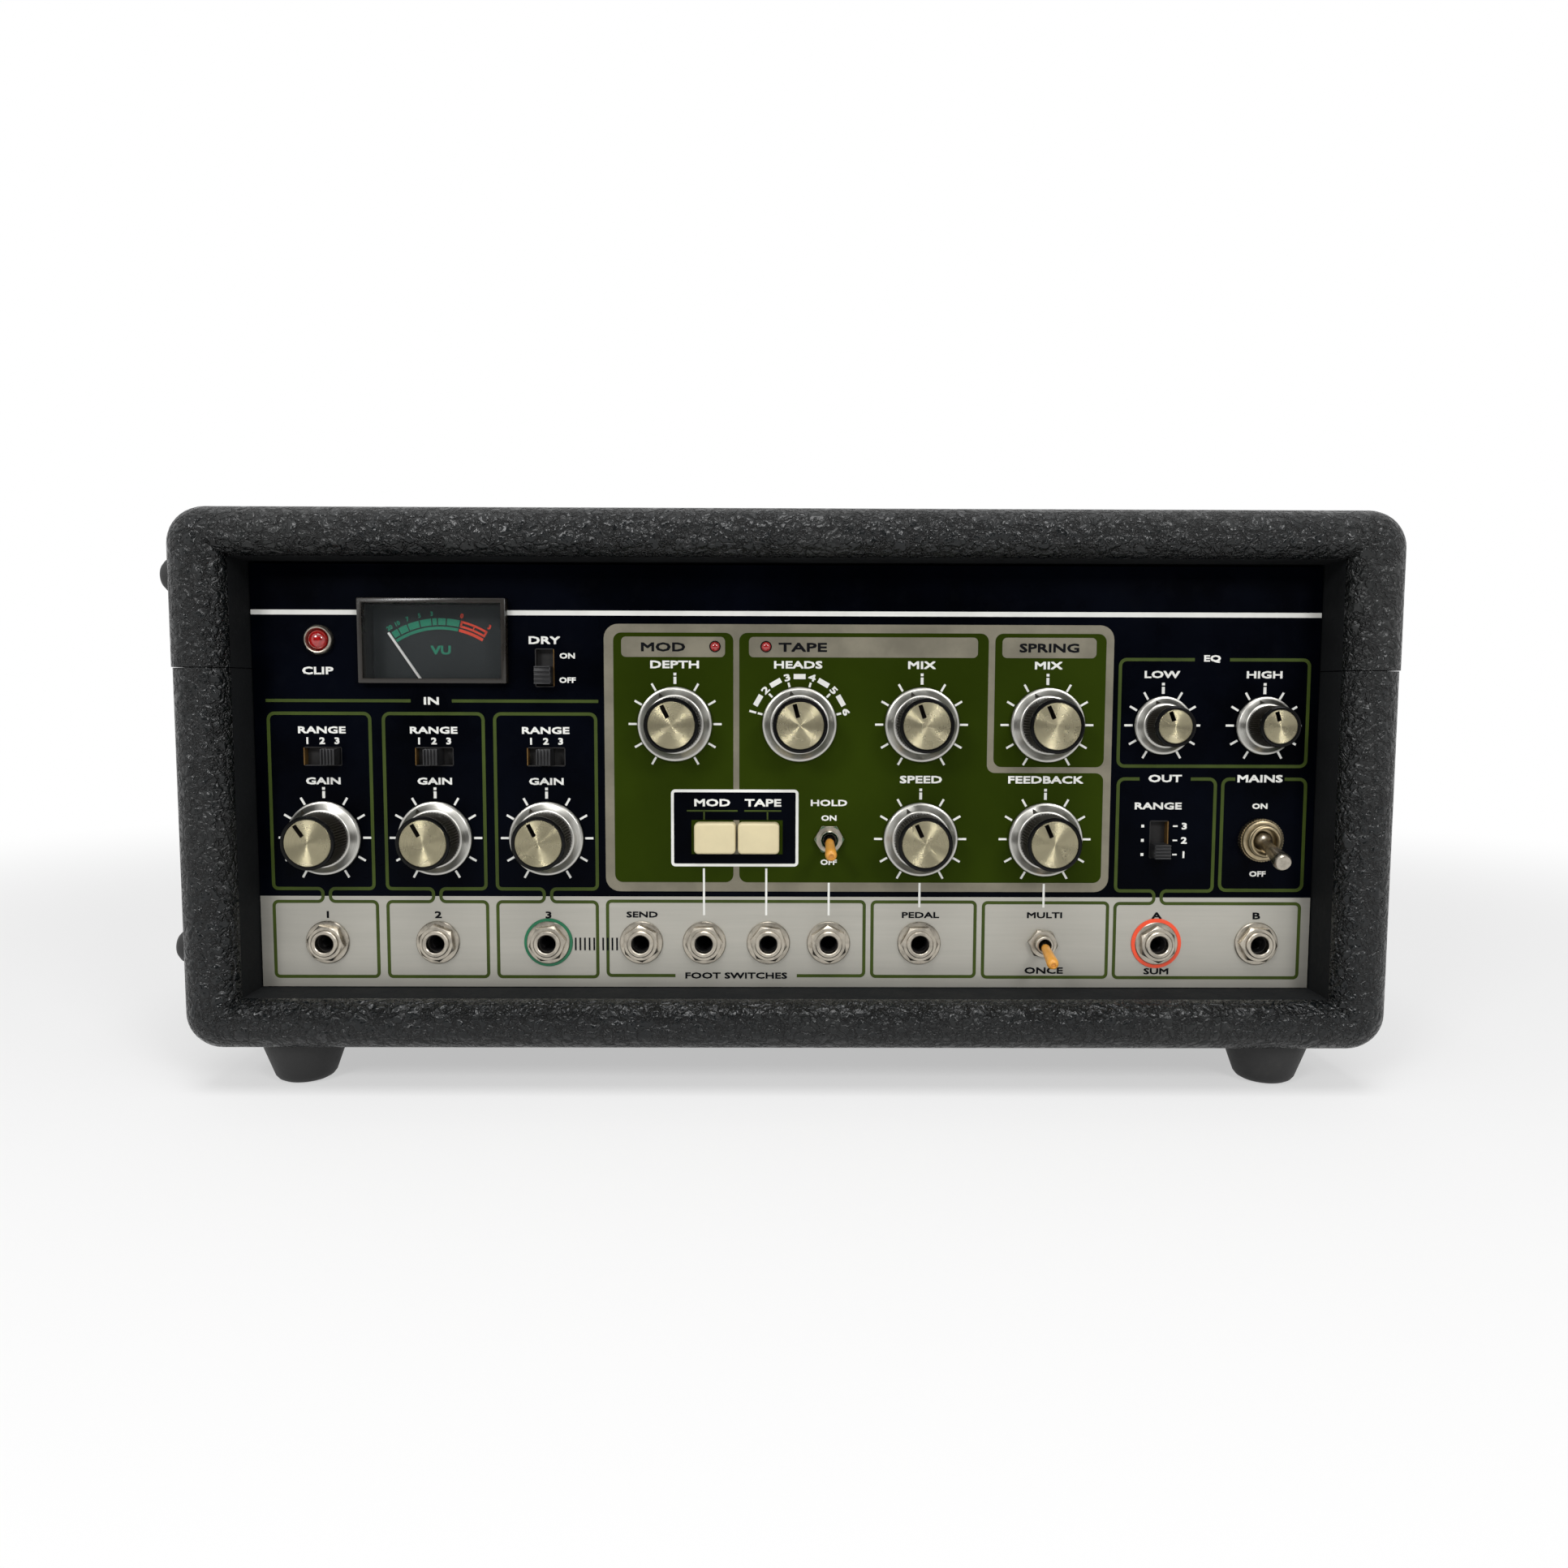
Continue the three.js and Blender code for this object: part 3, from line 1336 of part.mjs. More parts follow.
function buildTape() {
  const path = tapePath();
  const outer = besideLoop(path, tapeThickness / 2);
  const inner = besideLoop(path, -tapeThickness / 2);
  const tape = prism(outer, tapeLift, tapeLift + tapeWidth, [inner]);
  addPiece(deckFrame, 'tape_loop', tape, tapeBrown);
}

// Heads on their bridge, each with a rounded nose towards the tape

function headOutline(x) {
  const tip = tapeLine - tapeStandOff;
  const half = headWidth / 2;
  const back = tip - headDepth;
  const points = [new THREE.Vector2(x - half, back), new THREE.Vector2(x + half, back)];
  for (let i = 0; i <= arcSteps; i++) {
    const angle = (Math.PI * i) / arcSteps;
    points.push(new THREE.Vector2(
      x + half * Math.cos(angle), tip - headNose * (1 - Math.sin(angle))));
  }
  return points;
}

function buildHeads() {
  const solids = [];
  for (let i = 0; i < headCount; i++) {
    solids.push(prism(headOutline(headFirstX + i * headPitch), seatGap, headHeight));
  }
  const lastX = headFirstX + (headCount - 1) * headPitch;
  const noseY = tapeLine - tapeStandOff;
  const bridge = slab(
    [headFirstX - headWidth / 2 - bridgeMargin, lastX + headWidth / 2 + bridgeMargin],
    [noseY - headDepth - bridgeBack, noseY - headNose],
    [seatGap, seatGap + bridgeThickness]);
  addPiece(deckFrame, 'head_bridge', joined([bridge, ...solids]), steel);
}

// Capstan with its flywheel, the motor under the deck, the pinch roller and its arm

const flywheelTop = -sheet - flywheelGap;
const motorTop = flywheelTop - flywheelThickness - flywheelGap;

function buildCapstan() {
  const shaftEnd = motorTop - motorBoreDepth + seatGap;
  const shaft = disc(capstanRadius, shaftEnd, capstanHeight, 0, 0, roundSides);
  const wheel = disc(flywheelRadius, flywheelTop - flywheelThickness, flywheelTop, 0, 0, fineSides);
  addPiece(deckFrame, 'capstan', shaft.add(wheel), nickel, capstanX, capstanY);

  const can = turned([
    [0, motorTop - motorLength],
    [motorRadius - flywheelGap, motorTop - motorLength],
    [motorRadius, motorTop - motorLength + flywheelGap],
    [motorRadius, motorTop],
    [0, motorTop],
  ], fineSides);
  const posts = [];
  for (let i = 0; i < 3; i++) {
    const angle = (2 * Math.PI * i) / 3;
    const reach = motorRadius - motorPostRadius;
    posts.push(disc(motorPostRadius, motorTop - overrun, -sheet - seatGap,
      reach * Math.cos(angle), reach * Math.sin(angle), smallSides));
  }
  const bore = prism(holePoints(capstanRadius), motorTop - motorBoreDepth, motorTop + overrun);
  const motor = joined([can, ...posts]).subtract(bore);
  addPiece(deckFrame, 'drive_motor', motor, steel, capstanX, capstanY);
}

function buildPinch() {
  const bore = holePoints(rollerAxleRadius);
  const top = rollerLift + rollerHeight;
  const roller = prism(circlePoints(rollerRadius, fineSides), rollerLift, top, [bore]);
  addPiece(deckFrame, 'pinch_roller', roller, blackRubber, capstanX, rollerY);

  const across = capstanX - armX;
  const along = rollerY - armY;
  const length = Math.hypot(across, along);
  const low = top + seatGap;
  const width = 2 * armEndRadius;
  const link = roundedPoints(length + width, width, armEndRadius - seatGap, length / 2);
  const arm = joined([
    prism(link, low, low + armThickness),
    disc(armEndRadius, rollerLift, low + armThickness),
    disc(rollerAxleRadius, rollerLift, low + seatGap, length, 0),
  ]).subtract(prism(holePoints(armStudRadius), 0, low + armThickness + overrun));
  const mesh = addPiece(deckFrame, 'pinch_arm', arm, steel, armX, armY);
  mesh.rotation.z = Math.atan2(along, across);
}

// Parts on the chassis floor

const floorRear = -chassisRear - panelThickness;
const tankY = floorRear - tankSetback;

function buildMainBoard() {
  const halfWidth = (mainBoardWidthShare * chassisHalf) / 2;
  const mainBoardRear = tankY - tankWidth / 2 - mainBoardRearGap;
  const halfLength = (mainBoardRear - mainBoardFront) / 2;
  const boardTop = mainBoardLift + boardThickness;
  const solids = [slab([-halfWidth, halfWidth], [-halfLength, halfLength], [mainBoardLift, boardTop])];
  for (const signX of [-1, 1]) {
    for (const signY of [-1, 1]) {
      const x = signX * (halfWidth - 2 * standoffRadius);
      const y = signY * (halfLength - 2 * standoffRadius);
      solids.push(disc(standoffRadius, seatGap, boardTop, x, y, smallSides));
    }
  }
  for (let i = 1; i <= capacitorCount; i++) {
    const x = -halfWidth + 4 * i * capacitorRadius;
    solids.push(disc(capacitorRadius, boardTop - seatGap, boardTop + capacitorHeight, x,
      halfLength - 3 * capacitorRadius, smallSides));
  }
  for (let i = 1; i <= chipCount; i++) {
    const x = -halfWidth + (2 * i - 1) * chipLength;
    solids.push(slab(
      [x, x + chipLength],
      [-chipWidth / 2, chipWidth / 2],
      [boardTop - seatGap, boardTop + chipHeight]));
  }
  addPiece(floorFrame, 'main_circuit_board', joined(solids), boardGreen, mainBoardShare * chassisHalf,
    mainBoardFront + halfLength);
}

function buildTransformer() {
  const halfWidth = coreWidth / 2;
  const halfLength = coreLength / 2;
  const core = slab([-halfWidth, halfWidth], [-halfLength, halfLength], [seatGap, coreHeight]);
  const windingHalf = halfWidth - windingInset;
  const winding = bevelledPrism(
    roundedPoints(2 * windingHalf, 2 * (halfLength + windingOverhang), windingInset / 2),
    windingInset, coreHeight - windingInset, overrun);
  const feet = slab(
    [-halfWidth - transformerFoot, halfWidth + transformerFoot],
    [-halfLength, halfLength],
    [seatGap, seatGap + sheet]);
  const transformer = joined([core, winding, feet]);
  addPiece(floorFrame, 'power_transformer', transformer, laminated, transformerShare * chassisHalf,
    floorRear - transformerSetback);
}

// The spring tank is a shallow tray, open side down, on two flanges.
function buildTank() {
  const tankLength = tankLengthShare * chassisHalf;
  const halfLength = tankLength / 2;
  const halfWidth = tankWidth / 2;
  const outer = roundedPoints(tankLength, tankWidth, deckRadius);
  const inner = roundedPoints(tankLength - 2 * tankWall, tankWidth - 2 * tankWall, deckRadius - tankWall);
  const shell = prism(outer, seatGap, tankHeight).subtract(prism(inner, 0, tankHeight - tankWall));
  const flanges = [-1, 1].map((side) => slab(
    [side * halfLength - tankFlange, side * halfLength + tankFlange],
    [-halfWidth + deckRadius, halfWidth - deckRadius],
    [seatGap, seatGap + tankWall]));
  addPiece(floorFrame, 'reverb_tank', joined([shell, ...flanges]), zincSheet,
    tankShare * chassisHalf, tankY);
}

buildBase();
buildLid();
buildBackPanel();
buildFeet();
buildSideFeet();
buildHinge();
buildHandle();
buildChassis();
buildPanel();
buildControlBoard();
buildJackBoard();
buildKnobs();
buildSlideCaps();
buildButtons();
buildPowerToggle();
buildToggleLevers();
buildLamps();
buildMeter();
buildDeck();
buildTape();
buildTapeCover();
buildHeads();
buildCapstan();
buildPinch();
buildMainBoard();
buildTransformer();
buildTank();

export default unit;
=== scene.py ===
# %% [markdown]
# A tape echo unit in a leatherette case
#
# The unit is a sheet metal machine in a wooden case that is covered with grained vinyl. The packed
# model gives every rigid part at its real size and place, in metres, and this lesson dresses it: it
# finds the places of the parts, writes the finishes as node materials, and models what needs a finer
# surface, such as the knobs, the printed front and the jacks.

# %% Load the model and note its size
import math
import random

import bmesh
import bpy
from mathutils import Matrix, Vector


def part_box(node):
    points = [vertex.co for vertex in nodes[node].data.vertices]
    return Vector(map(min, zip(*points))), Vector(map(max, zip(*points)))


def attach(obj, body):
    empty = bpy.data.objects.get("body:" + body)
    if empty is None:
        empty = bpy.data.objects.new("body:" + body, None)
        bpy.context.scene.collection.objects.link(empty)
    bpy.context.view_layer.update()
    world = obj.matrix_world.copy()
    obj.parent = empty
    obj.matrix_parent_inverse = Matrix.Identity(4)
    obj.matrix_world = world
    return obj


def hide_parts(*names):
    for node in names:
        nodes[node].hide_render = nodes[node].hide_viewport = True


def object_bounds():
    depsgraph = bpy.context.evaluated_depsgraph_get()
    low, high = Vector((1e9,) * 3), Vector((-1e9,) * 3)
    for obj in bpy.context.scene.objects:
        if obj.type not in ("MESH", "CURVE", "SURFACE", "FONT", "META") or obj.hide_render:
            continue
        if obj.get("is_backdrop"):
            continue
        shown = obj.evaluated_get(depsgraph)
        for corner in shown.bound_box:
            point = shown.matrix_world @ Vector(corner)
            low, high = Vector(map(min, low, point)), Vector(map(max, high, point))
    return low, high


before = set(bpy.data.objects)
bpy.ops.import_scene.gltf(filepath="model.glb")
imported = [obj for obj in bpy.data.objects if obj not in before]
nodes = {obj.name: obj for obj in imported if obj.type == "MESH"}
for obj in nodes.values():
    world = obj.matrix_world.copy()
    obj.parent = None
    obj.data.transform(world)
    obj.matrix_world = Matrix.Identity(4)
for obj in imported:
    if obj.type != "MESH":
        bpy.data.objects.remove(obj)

cad_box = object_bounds()
print("parts", len(nodes), "box", [[round(v, 4) for v in corner] for corner in cad_box])

# %% [markdown]
# The front of such a unit is drawn in millimetres from the middle of the lower edge of its panel. A
# matrix turns such a drawing into its place: x goes right, y goes up, and z comes towards the reader.
# Each piece is modelled flat on the drawing and then moved by this matrix, so its object stays at the
# origin and its place is in its mesh.

# %% The drawing frame of the front panel
MM = 0.001
PANEL_SEAT = 0.3 * MM
panel_low, panel_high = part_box("front_panel")
PANEL_X = (panel_low.x + panel_high.x) / 2
PANEL_Y = panel_low.y
PANEL_Z = panel_low.z - PANEL_SEAT
FRONT = (Matrix.Translation((PANEL_X, PANEL_Y, PANEL_Z))
         @ Matrix.Rotation(math.pi / 2, 4, "X") @ Matrix.Scale(MM, 4))


def on_front(x, y, z=0.0, turn=0.0):
    """The matrix of a place on the panel, turned by an angle in degrees to the left."""
    return FRONT @ Matrix.Translation((x, y, z)) @ Matrix.Rotation(math.radians(turn), 4, "Z")


print("panel", round(PANEL_X, 5), round(PANEL_Y, 5), round(PANEL_Z, 5))

# %% [markdown]
# The camera stands a little above the middle of the front, about half a metre away, and looks down
# by less than five degrees. Its place was worked out from the edges of the panel and the rows of
# knobs, so it is written as numbers. The picture is square, so the lens is given for a square sensor.

# %% The camera
CAMERA_PLACE = Vector((0.28, -534.1, 139.7)) * MM
CAMERA_PITCH, CAMERA_YAW, CAMERA_ROLL = math.radians(4.614), math.radians(0.325), math.radians(0.168)
SENSOR = 36.0
FOCAL_PIXELS, PICTURE_PIXELS = 1414.27, 1932


def camera_turn():
    """The camera's axes as the columns of a matrix: right, up and backwards."""
    ahead = Vector((math.sin(CAMERA_YAW) * math.cos(CAMERA_PITCH),
                    math.cos(CAMERA_YAW) * math.cos(CAMERA_PITCH), -math.sin(CAMERA_PITCH)))
    level = Vector((math.cos(CAMERA_YAW), -math.sin(CAMERA_YAW), 0.0))
    above = level.cross(ahead)
    right = level * math.cos(CAMERA_ROLL) + above * math.sin(CAMERA_ROLL)
    up = above * math.cos(CAMERA_ROLL) - level * math.sin(CAMERA_ROLL)
    return Matrix((right, up, -ahead)).transposed().to_4x4()


camera_data = bpy.data.cameras.new("camera")
camera_data.sensor_fit = "HORIZONTAL"
camera_data.sensor_width = SENSOR
camera_data.lens = FOCAL_PIXELS * SENSOR / PICTURE_PIXELS
camera = bpy.data.objects.new("camera", camera_data)
camera.matrix_world = Matrix.Translation(CAMERA_PLACE) @ camera_turn()
bpy.context.scene.collection.objects.link(camera)
bpy.context.scene.camera = camera
print("lens", round(camera_data.lens, 3), "mm")

# %% [markdown]
# A shader is easier to read as a formula than as a web of nodes. The class below wraps one output
# socket: used in an expression, it adds Math nodes. Every other node comes from one method, which
# sets the node's own settings first and then its sockets.

# %% Formulas for shaders
class Wire:
    """An output socket that adds Math nodes when it is used in an expression."""

    def __init__(self, finish, socket):
        self.finish, self.socket = finish, socket

    def out(self, name):
        return Wire(self.finish, self.socket.node.outputs[name])

    def maths(self, operation, *values):
        return self.finish.node("ShaderNodeMath", {"operation": operation}, values)

    def __add__(self, other):
        return self.maths("ADD", self, other)

    def __sub__(self, other):
        return self.maths("SUBTRACT", self, other)

    def __rsub__(self, other):
        return self.maths("SUBTRACT", other, self)

    def __mul__(self, other):
        return self.maths("MULTIPLY", self, other)

    __radd__ = __add__
    __rmul__ = __mul__


class Finish:
    """A material, or the sky of a given world, that is written as formulas over Wires."""

    def __init__(self, name, world=None):
        self.material = world or bpy.data.materials.new(name)
        self.material.use_nodes = True
        self.tree = self.material.node_tree
        self.shader = self.tree.nodes["Background" if world else "Principled BSDF"]

    def fill(self, socket, value):
        if isinstance(value, Wire):
            self.tree.links.new(value.socket, socket)
        elif hasattr(socket.default_value, "__len__") and len(value) < len(socket.default_value):
            socket.default_value = (*value, 1.0)
        else:
            socket.default_value = value

    def node(self, kind, settings=None, values=()):
        """Adds a node and returns its first output that is in use."""
        node = self.tree.nodes.new(kind)
        for key, value in (settings or {}).items():
            setattr(node, key, value)
        pairs = values.items() if isinstance(values, dict) else enumerate(values)
        for key, value in pairs:
            self.fill(node.inputs[key], value)
        return Wire(self, next(socket for socket in node.outputs if socket.enabled))

    def place(self):
        return self.node("ShaderNodeTexCoord").out("Object")

    def own_map(self):
        return self.node("ShaderNodeUVMap", {"uv_map": "face"})

    def vector(self, operation, *values):
        return self.node("ShaderNodeVectorMath", {"operation": operation}, values)

    def scaled(self, vector, factor):
        return self.node("ShaderNodeVectorMath", {"operation": "SCALE"}, {"Vector": vector, "Scale": factor})

    def noise(self, vector, scale, detail=3.0, roughness=0.55):
        return self.node("ShaderNodeTexNoise", None,
                         {"Vector": vector, "Scale": scale, "Detail": detail, "Roughness": roughness})

    def ramp(self, value, low, high):
        """A soft step from zero to one while the value goes from low to high."""
        return self.node("ShaderNodeMapRange", {"interpolation_type": "SMOOTHSTEP"},
                         {"Value": value, "From Min": low, "From Max": high})

    def mix(self, share, first, second):
        node = self.node("ShaderNodeMix", {"data_type": "RGBA"})
        inputs = [socket for socket in node.socket.node.inputs if socket.enabled]
        for socket, value in zip(inputs, (share, first, second)):
            self.fill(socket, value)
        return node

    def bump(self, height, distance, strength=1.0):
        return self.node("ShaderNodeBump", None,
                         {"Height": height, "Distance": distance, "Strength": strength})

    def surface(self, **sockets):
        """Fills the shader: base_color=... becomes its Base Color, and so on."""
        names = {socket.name.lower().replace(" ", "_"): socket for socket in self.shader.inputs}
        for key, value in sockets.items():
            self.fill(names[key], value)
        return self.material


print("formula helper ready")

# %% [markdown]
# The case is covered with black vinyl that is embossed like old leather: pads of about four
# millimetres between narrow creases. A Voronoi pattern gives the pads. Its coordinates are bent by
# noise first, so that no pad stays a neat polygon. Longer creases follow the middle line of a second
# noise, and a third one makes each pad bulge or lean. The sheen lies on this relief, so that its edges
# glint, and the creases are duller than the tops. Their colour is also darker than the tops, which is
# painted shade in the creases. All patterns are given as a number per metre.

# %% Leatherette
PADS, LONG_CREASES, SWELLS, BENDS, WEAR = 250.0, 210.0, 240.0, 230.0, 16.0
BENT_BY, RELIEF = 6 * MM, 1 * MM
STREAK = (0.6, 1.0, 1.25)
# The crease colour is painted shade: the creases are coloured darker than the tops of the pads.
PAINTED_CREASE_SHADE, TOP_BLACK, WORN_GREY = (0.0010, 0.0013, 0.0015), (0.0048, 0.0060, 0.0066), (0.030, 0.030, 0.027)


def make_leatherette():
    finish = Finish("leatherette")
    place = finish.place()
    drift = finish.vector("SUBTRACT", finish.noise(place, BENDS, 2.0).out("Color"), (0.5, 0.5, 0.5))
    bent = finish.vector("ADD", place, finish.scaled(drift, BENT_BY))
    cells = finish.node("ShaderNodeTexVoronoi", {"feature": "DISTANCE_TO_EDGE"},
                        {"Vector": bent, "Scale": PADS, "Randomness": 1.0})
    streaks = finish.node("ShaderNodeMapping", None, {"Vector": bent, "Scale": STREAK})
    middle = finish.noise(streaks, LONG_CREASES, 3.0) - 0.5
    long_crease = finish.ramp(finish.node("ShaderNodeMath", {"operation": "ABSOLUTE"}, [middle]), 0.0, 0.035)
    crease = finish.ramp(cells, 0.0, 0.13)
    bulge = finish.ramp(cells, 0.0, 0.45)
    swell = finish.noise(streaks, SWELLS, 1.5)
    height = crease * 0.25 + bulge * 0.35 + long_crease * 0.8 + swell * 1.3
    top = crease * long_crease
    worn = finish.ramp(finish.noise(place, WEAR, 5.0), 0.48, 0.75)
    # Painted shade: the colour goes from the black of the tops to a darker black in the creases.
    dark = finish.mix(top, PAINTED_CREASE_SHADE, TOP_BLACK)
    colour = finish.mix(worn * top * 0.3, dark, WORN_GREY)
    return finish.surface(
        base_color=colour, roughness=0.36 - top * 0.13 + worn * 0.08, specular_ior_level=0.34,
        normal=finish.bump(height, RELIEF))


LEATHERETTE = make_leatherette()

# %% [markdown]
# Most of the other finishes are one colour with faint marks: paint, rubber, moulded plastic and
# plated metal. One function makes them all from a colour, a roughness and the sizes of the marks,
# so that dust, rubbing and fine grain lie on each of them at the right scale.

# %% Plain finishes
def make_plain(name, colour, roughness, metallic=0.0, cloud=0.12, cloud_scale=60.0, grain=0.0,
               grain_scale=900.0, stain=None, specular=0.5, coat=0.0):
    """One colour in soft clouds, with optional stains. The grain is the depth of a fine relief."""
    finish = Finish(name)
    place = finish.place()
    clouds = finish.noise(place, cloud_scale, 5.0, 0.6)
    marks = finish.ramp(finish.noise(place, cloud_scale * 6.0, 3.0), 0.52, 0.75)
    shade = finish.ramp(clouds, 0.3, 0.7)
    darker = tuple(channel * (1.0 - 1.6 * cloud) for channel in colour)
    lighter = tuple(min(1.0, channel * (1.0 + cloud)) for channel in colour)
    base = finish.mix(shade, darker, lighter)
    if stain:
        base = finish.mix(finish.ramp(clouds, 0.55, 0.75) * 0.5 + marks * 0.12, base, stain)
    rough = roughness + shade * (0.25 * roughness) + marks * 0.08
    sockets = {"base_color": base, "roughness": rough, "metallic": metallic,
               "specular_ior_level": specular, "coat_weight": coat}
    if grain:
        sockets["normal"] = finish.bump(finish.noise(place, grain_scale, 3.0), grain, 0.6)
    return finish.surface(**sockets)


BLACK_RUBBER = make_plain("black_rubber", (0.012, 0.012, 0.012), 0.55, cloud=0.25,
                          grain=0.00015, stain=(0.045, 0.043, 0.04))
CASE_PAINT = make_plain("case_paint", (0.0015, 0.0022, 0.0028), 0.75, grain=0.0002, grain_scale=500.0,
                        specular=0.25)
BLACK_PANEL = make_plain("black_panel", (0.0008, 0.0013, 0.0032), 0.24, cloud=0.35, cloud_scale=25.0,
                         specular=0.025)
GREEN_PAINT = make_plain("green_paint", (0.0205, 0.0345, 0.0012), 0.36, cloud=0.1, cloud_scale=14.0,
                         specular=0.03)
SILVER_PAINT = make_plain("silver_paint", (0.200, 0.183, 0.135), 0.42, metallic=0.35, grain=0.00002)
OLIVE_INK = make_plain("olive_ink", (0.040, 0.062, 0.007), 0.45, specular=0.2)
WHITE_INK = make_plain("white_ink", (0.78, 0.78, 0.74), 0.45, cloud=0.05)
BLACK_INK = make_plain("black_ink", (0.003, 0.0035, 0.005), 0.45, specular=0.08)
BLACK_PLASTIC = make_plain("black_plastic", (0.011, 0.011, 0.012), 0.38, grain=0.00006)
GRIP_PLASTIC = make_plain("grip_plastic", (0.022, 0.019, 0.014), 0.4, grain=0.00004, specular=0.2)
GLOSS_BLACK = make_plain("gloss_black", (0.003, 0.003, 0.003), 0.2, cloud=0.3, specular=0.15)
AGED_BRASS = make_plain("aged_brass", (0.40, 0.33, 0.21), 0.3, metallic=1.0, cloud=0.2, cloud_scale=220.0,
                        stain=(0.13, 0.095, 0.055), grain=0.00002)
CREAM_PLASTIC = make_plain("cream_plastic", (0.65, 0.565, 0.35), 0.33, cloud=0.04, grain=0.00002,
                           stain=(0.62, 0.50, 0.30))
ORANGE_PLASTIC = make_plain("orange_plastic", (0.68, 0.31, 0.045), 0.3, cloud=0.15,
                            stain=(0.30, 0.13, 0.03))
NICKEL = make_plain("nickel", (0.47, 0.43, 0.36), 0.27, metallic=1.0, cloud=0.2, cloud_scale=220.0,
                    stain=(0.16, 0.125, 0.09), grain=0.00002)
STEEL = make_plain("steel", (0.50, 0.50, 0.49), 0.32, metallic=1.0, grain=0.00003,
                   stain=(0.22, 0.20, 0.17))
ZINC_SHEET = make_plain("zinc_sheet", (0.42, 0.43, 0.43), 0.38, metallic=1.0, cloud=0.15,
                        grain=0.00002)
BLACK_SHEET = make_plain("black_sheet", (0.014, 0.0145, 0.0155), 0.42, grain=0.00012,
                         grain_scale=1400.0)
print("plain finishes", len(bpy.data.materials))

# %% [markdown]
# A few finishes need a pattern of their own. The jack strip is brushed lengthwise, which is noise
# stretched along the panel. The caps of the knobs are turned on a lathe: fine rings round the middle
# spread each lamp's highlight into a bright fan, and the rings are drawn from the cap's own map, in
# which the middle is zero.

# %% Brushed and turned metal
ALONG_X = (0.04, 1.0, 1.0)
RINGS_PER_METRE = 90000.0


def tinted(colour, factor):
    return tuple(min(1.0, channel * factor) for channel in colour)


def make_brushed(name, colour, roughness, direction, metallic):
    finish = Finish(name)
    place = finish.node("ShaderNodeMapping", None, {"Vector": finish.place(), "Scale": direction})
    lines = finish.noise(place, 400.0, 4.0, 0.7)
    clouds = finish.ramp(finish.noise(finish.place(), 24.0, 4.0), 0.35, 0.7)
    shade = finish.mix(lines, tinted(colour, 0.86), tinted(colour, 1.1))
    stained = finish.mix(clouds * 0.25, shade, tinted(colour, 0.75))
    return finish.surface(
        base_color=stained, roughness=roughness + lines * 0.12, metallic=metallic,
        normal=finish.bump(lines, 0.00003, 0.5))


def make_turned(name, colour, roughness, spread):
    """Metal with lathe rings: each ring leans its normal in or out by its own amount."""
    finish = Finish(name)
    middle = finish.own_map()
    parts = finish.node("ShaderNodeSeparateXYZ", None, {"Vector": middle}).socket.node.outputs
    across, up = Wire(finish, parts["X"]), Wire(finish, parts["Y"])
    radius = finish.vector("LENGTH", middle).out("Value")
    normal = finish.node("ShaderNodeNewGeometry").out("Normal")
    tangent = finish.node("ShaderNodeTangent", {"direction_type": "UV_MAP", "uv_map": "face"})
    other = finish.vector("CROSS_PRODUCT", normal, tangent)
    outward = finish.vector("NORMALIZE", finish.vector(
        "ADD", finish.scaled(tangent, across), finish.scaled(other, up)))
    lean = finish.node("ShaderNodeTexWhiteNoise", {"noise_dimensions": "1D"},
                       {"W": radius * RINGS_PER_METRE}).out("Value") - 0.5
    rings = finish.node("ShaderNodeTexNoise", {"noise_dimensions": "1D"},
                        {"W": radius, "Scale": 4200.0, "Detail": 4.0})
    leaning = finish.vector("ADD", normal, finish.scaled(outward, lean * (2 * spread)))
    clouds = finish.ramp(finish.noise(finish.place(), 160.0, 4.0), 0.45, 0.7)
    base = finish.mix(finish.ramp(rings, 0.35, 0.65), tinted(colour, 0.8), colour)
    dirty = finish.mix(clouds * 0.12, base, tinted(colour, 0.55))
    return finish.surface(
        base_color=dirty, roughness=roughness + clouds * 0.1, metallic=1.0,
        normal=finish.vector("NORMALIZE", leaning))


STRIP_METAL = make_brushed("strip_metal", (0.46, 0.445, 0.395), 0.38, ALONG_X, 0.55)
DECK_METAL = make_brushed("deck_metal", (0.46, 0.47, 0.47), 0.33, ALONG_X, 1.0)
CAP_METAL = make_turned("cap_metal", (0.36, 0.325, 0.215), 0.24, 0.48)
SKIRT_METAL = make_turned("skirt_metal", (0.56, 0.55, 0.51), 0.3, 0.07)
print("patterned finishes ready")

# %% [markdown]
# Light comes through a few parts: the meter's window, the cover over the tape and the lenses of the
# lamps. Clear sheet is made with a low alpha, which lets the light straight through, and the lenses
# are deep red with a clear coat and a faint painted glow of their own. The small parts of the meter and
# the deck get plain finishes.

# %% Clear and red plastic, and the colours of small parts
def make_clear(name, colour, alpha, roughness):
    finish = Finish(name)
    smear = finish.ramp(finish.noise(finish.place(), 45.0, 5.0), 0.45, 0.75)
    return finish.surface(base_color=colour, alpha=alpha + smear * 0.03, specular_ior_level=0.25,
                          roughness=roughness + smear * 0.12, ior=1.49)


def make_lens(name, colour, painted_glow):
    finish = Finish(name)
    depth = finish.ramp(finish.noise(finish.place(), 900.0, 2.0), 0.3, 0.7)
    base = finish.mix(depth, tinted(colour, 0.55), colour)
    # The emission is a painted glow: the lenses light themselves faintly.
    return finish.surface(base_color=base, roughness=0.12, emission_color=base,
                          emission_strength=painted_glow, coat_weight=1.0)


